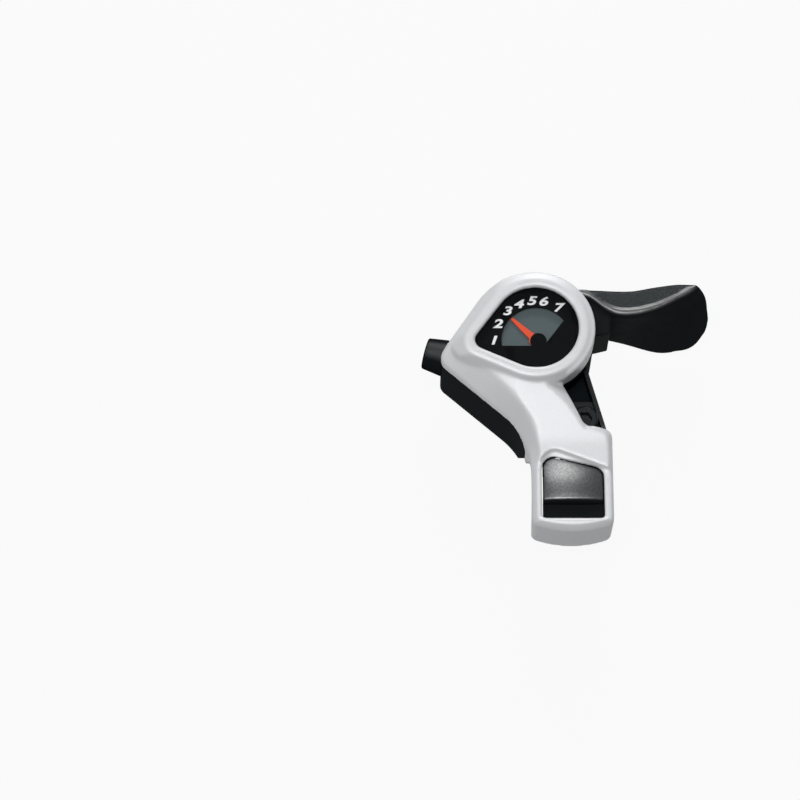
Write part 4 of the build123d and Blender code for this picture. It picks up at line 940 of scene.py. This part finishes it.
@dataclass
class Lever(SubAssembly):
    """Thumb lever with its steel core and drive pawl."""

    skin_size: float = 0.3 * MM
    swells: tuple[Swell, ...] = (
        Swell((37.9 * MM, 66.2 * MM, 9.0 * MM), (1.9 * MM, 0.1 * MM, 0.0), 9.0 * MM, 40),
        Swell((35.2 * MM, 55.2 * MM, -6.4 * MM), (0.7 * MM, -1.0 * MM, -1.15 * MM), 5.8 * MM, 24),
        Swell((41.5 * MM, 61.0 * MM, -0.3 * MM), (-0.2 * MM, 0.0, 0.0), 5.0 * MM, 30),
    )

    def dress(self) -> None:
        """Mould the lever's skin and paint the rest."""
        self.mould_skin("thumb_lever", LEVER_BLACK, self.skin_size, self.fill_tip)
        steel = ["lever_plate", "lever_rivets", "drive_pawl", "drive_pawl_pin"]
        self.paint_nodes(steel, ZINC_STEEL)
        self.paint_nodes(["lever_bush"], BUSH_BRASS)
        self.paint_nodes(["drive_pawl_spring", "lever_return_spring"], SPRING_STEEL)

    def fill_tip(self, shape: Any) -> None:
        """Swell the free end of the lever and round its corners over.

        Args:
            shape: The lever's bmesh.
        """
        for swell in self.swells:
            middle = Vector(swell.place)
            near = {v: (v.co - middle).length / swell.reach for v in shape.verts}
            for vert, share in near.items():
                if share < 1:
                    vert.co += Vector(swell.push) * (1 - share**2) ** 2
            for step in range(swell.rounds):
                part = 1 - step / swell.rounds
                self.relax(shape, [v for v, share in near.items() if share < part])


@dataclass
class Release(SubAssembly):
    """Release button with its hinge, spring and arm."""

    edge_width: float = 0.35 * MM
    side_growth: float = 0.38 * MM

    def dress(self) -> None:
        """Soften the button, bring its sides close to the cover and paint the rest."""
        low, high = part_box("release_button")
        button = self.soften("release_button", BUTTON_BLACK)
        self.widen(button, low.x, high.x)
        self.paint_nodes(["button_pin"], ZINC_STEEL)
        self.paint_nodes(["button_spring"], SPRING_STEEL)
        self.paint_nodes(["release_arm"], BLACK_STEEL)

    def widen(self, piece: Any, left: float, right: float) -> None:
        """Widen a piece along the bar, so that less light passes beside it.

        Args:
            piece: The piece.
            left: Its left side.
            right: Its right side.
        """
        shift = Matrix.Translation(((left + right) / 2, 0.0, 0.0))
        growth = 1 + 2 * self.side_growth / (right - left)
        piece.data.transform(shift @ Matrix.Diagonal((growth, 1.0, 1.0, 1.0)) @ shift.inverted())


@dataclass
class Winder(SubAssembly):
    """Axle, spool and ratchet inside the housing."""

    def dress(self) -> None:
        """Paint the winder's pieces."""
        self.paint_nodes(["cable_spool", "needle_carrier"], WHITE_NYLON)
        steel = ["ratchet_wheel", "main_axle", "axle_nut", "axle_washer", "thrust_washer"]
        self.paint_nodes([*steel, "hold_pawl", "hold_pawl_pin"], ZINC_STEEL)
        self.paint_nodes(["hold_pawl_spring"], SPRING_STEEL)


@dataclass
class Adjuster(SubAssembly):
    """Tapered cable adjuster."""

    edge_width: float = 0.15 * MM

    def dress(self) -> None:
        """Soften and paint the barrel."""
        self.soften("adjuster_barrel", BARREL_BLACK)


@dataclass(frozen=True)
class Lamp:
    """A soft box: where it stands, how large it is and how strong."""

    name: str
    place: Place
    size: float
    power: float


@dataclass
class Studio:
    """Pale floor, soft lamps and the camera."""

    aim: Place = (-0.005, 0.025, 0.0)
    camera_place: Place = (-0.05854, -0.31279, 0.95033)
    camera_tilt: float = 20.0
    camera_lens: float = 141.75
    camera_sensor: float = 36.0
    floor_half: float = 3.0
    floor_drop: float = 0.1 * MM
    floor_color: Color = (0.38, 0.38, 0.38)
    floor_roughness: float = 0.9
    floor_glow: float = 0.93
    world_color: Color = (1.0, 1.0, 1.0)
    world_strength: float = 0.09
    lamps: tuple[Lamp, ...] = (
        Lamp("key_lamp", (-0.10, -0.06, 1.00), 0.5, 6.0),
        Lamp("front_lamp", (0.05, 0.88, 0.48), 0.4, 4.4),
        Lamp("left_lamp", (-0.70, -0.25, 0.65), 0.4, 0.9),
    )

    def build(self) -> None:
        """Set up the world, the floor, the lamps and the camera."""
        self._world()
        self._floor()
        for lamp in self.lamps:
            self._lamp(lamp)
        self._camera()
        bpy.context.scene.view_settings.view_transform = "Standard"

    def _world(self) -> None:
        """Give the world an even pale light."""
        world = bpy.data.worlds.new("studio_world")
        world.use_nodes = True
        sky = world.node_tree.nodes["Background"]
        sky.inputs["Color"].default_value = (*self.world_color, 1.0)
        sky.inputs["Strength"].default_value = self.world_strength
        bpy.context.scene.world = world

    def _floor(self) -> None:
        """Lay a pale floor that keeps the shadow and looks white."""
        shape = bmesh.new()
        bmesh.ops.create_grid(shape, x_segments=1, y_segments=1, size=self.floor_half)
        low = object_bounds()[0]
        bmesh.ops.translate(shape, verts=shape.verts, vec=(0.0, 0.0, low[2] - self.floor_drop))
        mesh = bpy.data.meshes.new("studio_floor")
        shape.to_mesh(mesh)
        shape.free()
        mesh.materials.append(self._floor_material())
        floor = bpy.data.objects.new("studio_floor", mesh)
        bpy.context.scene.collection.objects.link(floor)
        floor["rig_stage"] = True

    def _floor_material(self) -> Any:
        """Material that is nearly white to the camera and in reflections, and grey to other light.

        Returns:
            The material.
        """
        material = bpy.data.materials.new("floor_white")
        material.use_nodes = True
        nodes = material.node_tree.nodes
        links = material.node_tree.links
        shader = nodes["Principled BSDF"]
        shader.inputs["Base Color"].default_value = (*self.floor_color, 1.0)
        shader.inputs["Roughness"].default_value = self.floor_roughness
        rays = nodes.new("ShaderNodeLightPath")
        seen = rays.outputs["Is Camera Ray"]
        for label in ("Is Glossy Ray", "Is Transmission Ray"):
            either = nodes.new("ShaderNodeMath")
            either.operation = "MAXIMUM"
            links.new(seen, either.inputs[0])
            links.new(rays.outputs[label], either.inputs[1])
            seen = either.outputs[0]
        share = nodes.new("ShaderNodeMath")
        share.operation = "MULTIPLY"
        share.inputs[1].default_value = self.floor_glow
        glow = nodes.new("ShaderNodeEmission")
        mix = nodes.new("ShaderNodeMixShader")
        links.new(seen, share.inputs[0])
        links.new(share.outputs[0], mix.inputs["Fac"])
        links.new(shader.outputs["BSDF"], mix.inputs[1])
        links.new(glow.outputs["Emission"], mix.inputs[2])
        links.new(mix.outputs["Shader"], nodes["Material Output"].inputs["Surface"])
        return material

    def _lamp(self, lamp: Lamp) -> None:
        """Hang one soft box and turn it to the object.

        Args:
            lamp: The soft box.
        """
        light = bpy.data.lights.new(lamp.name, "AREA")
        light.shape = "DISK"
        light.size = lamp.size
        light.energy = lamp.power
        holder = bpy.data.objects.new(lamp.name, light)
        holder.location = lamp.place
        way = Vector(self.aim) - Vector(lamp.place)
        holder.rotation_euler = way.to_track_quat("-Z", "Y").to_euler()
        bpy.context.scene.collection.objects.link(holder)

    def _camera(self) -> None:
        """Stand the camera where the photograph was taken."""
        lens = bpy.data.cameras.new("studio_camera")
        lens.lens = self.camera_lens
        lens.sensor_width = self.camera_sensor
        camera = bpy.data.objects.new("studio_camera", lens)
        camera.location = self.camera_place
        camera.rotation_euler = (math.radians(self.camera_tilt), 0.0, 0.0)
        bpy.context.scene.collection.objects.link(camera)
        bpy.context.scene.camera = camera


def main() -> None:
    """Load the frame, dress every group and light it."""
    logging.basicConfig(level=logging.INFO, format="%(name)s: %(message)s")
    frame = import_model()
    for group in (Housing, Clamp, Dial, Lever, Release, Winder, Adjuster):
        group(frame).dress()
    Studio().build()


if __name__ == "__main__":
    main()
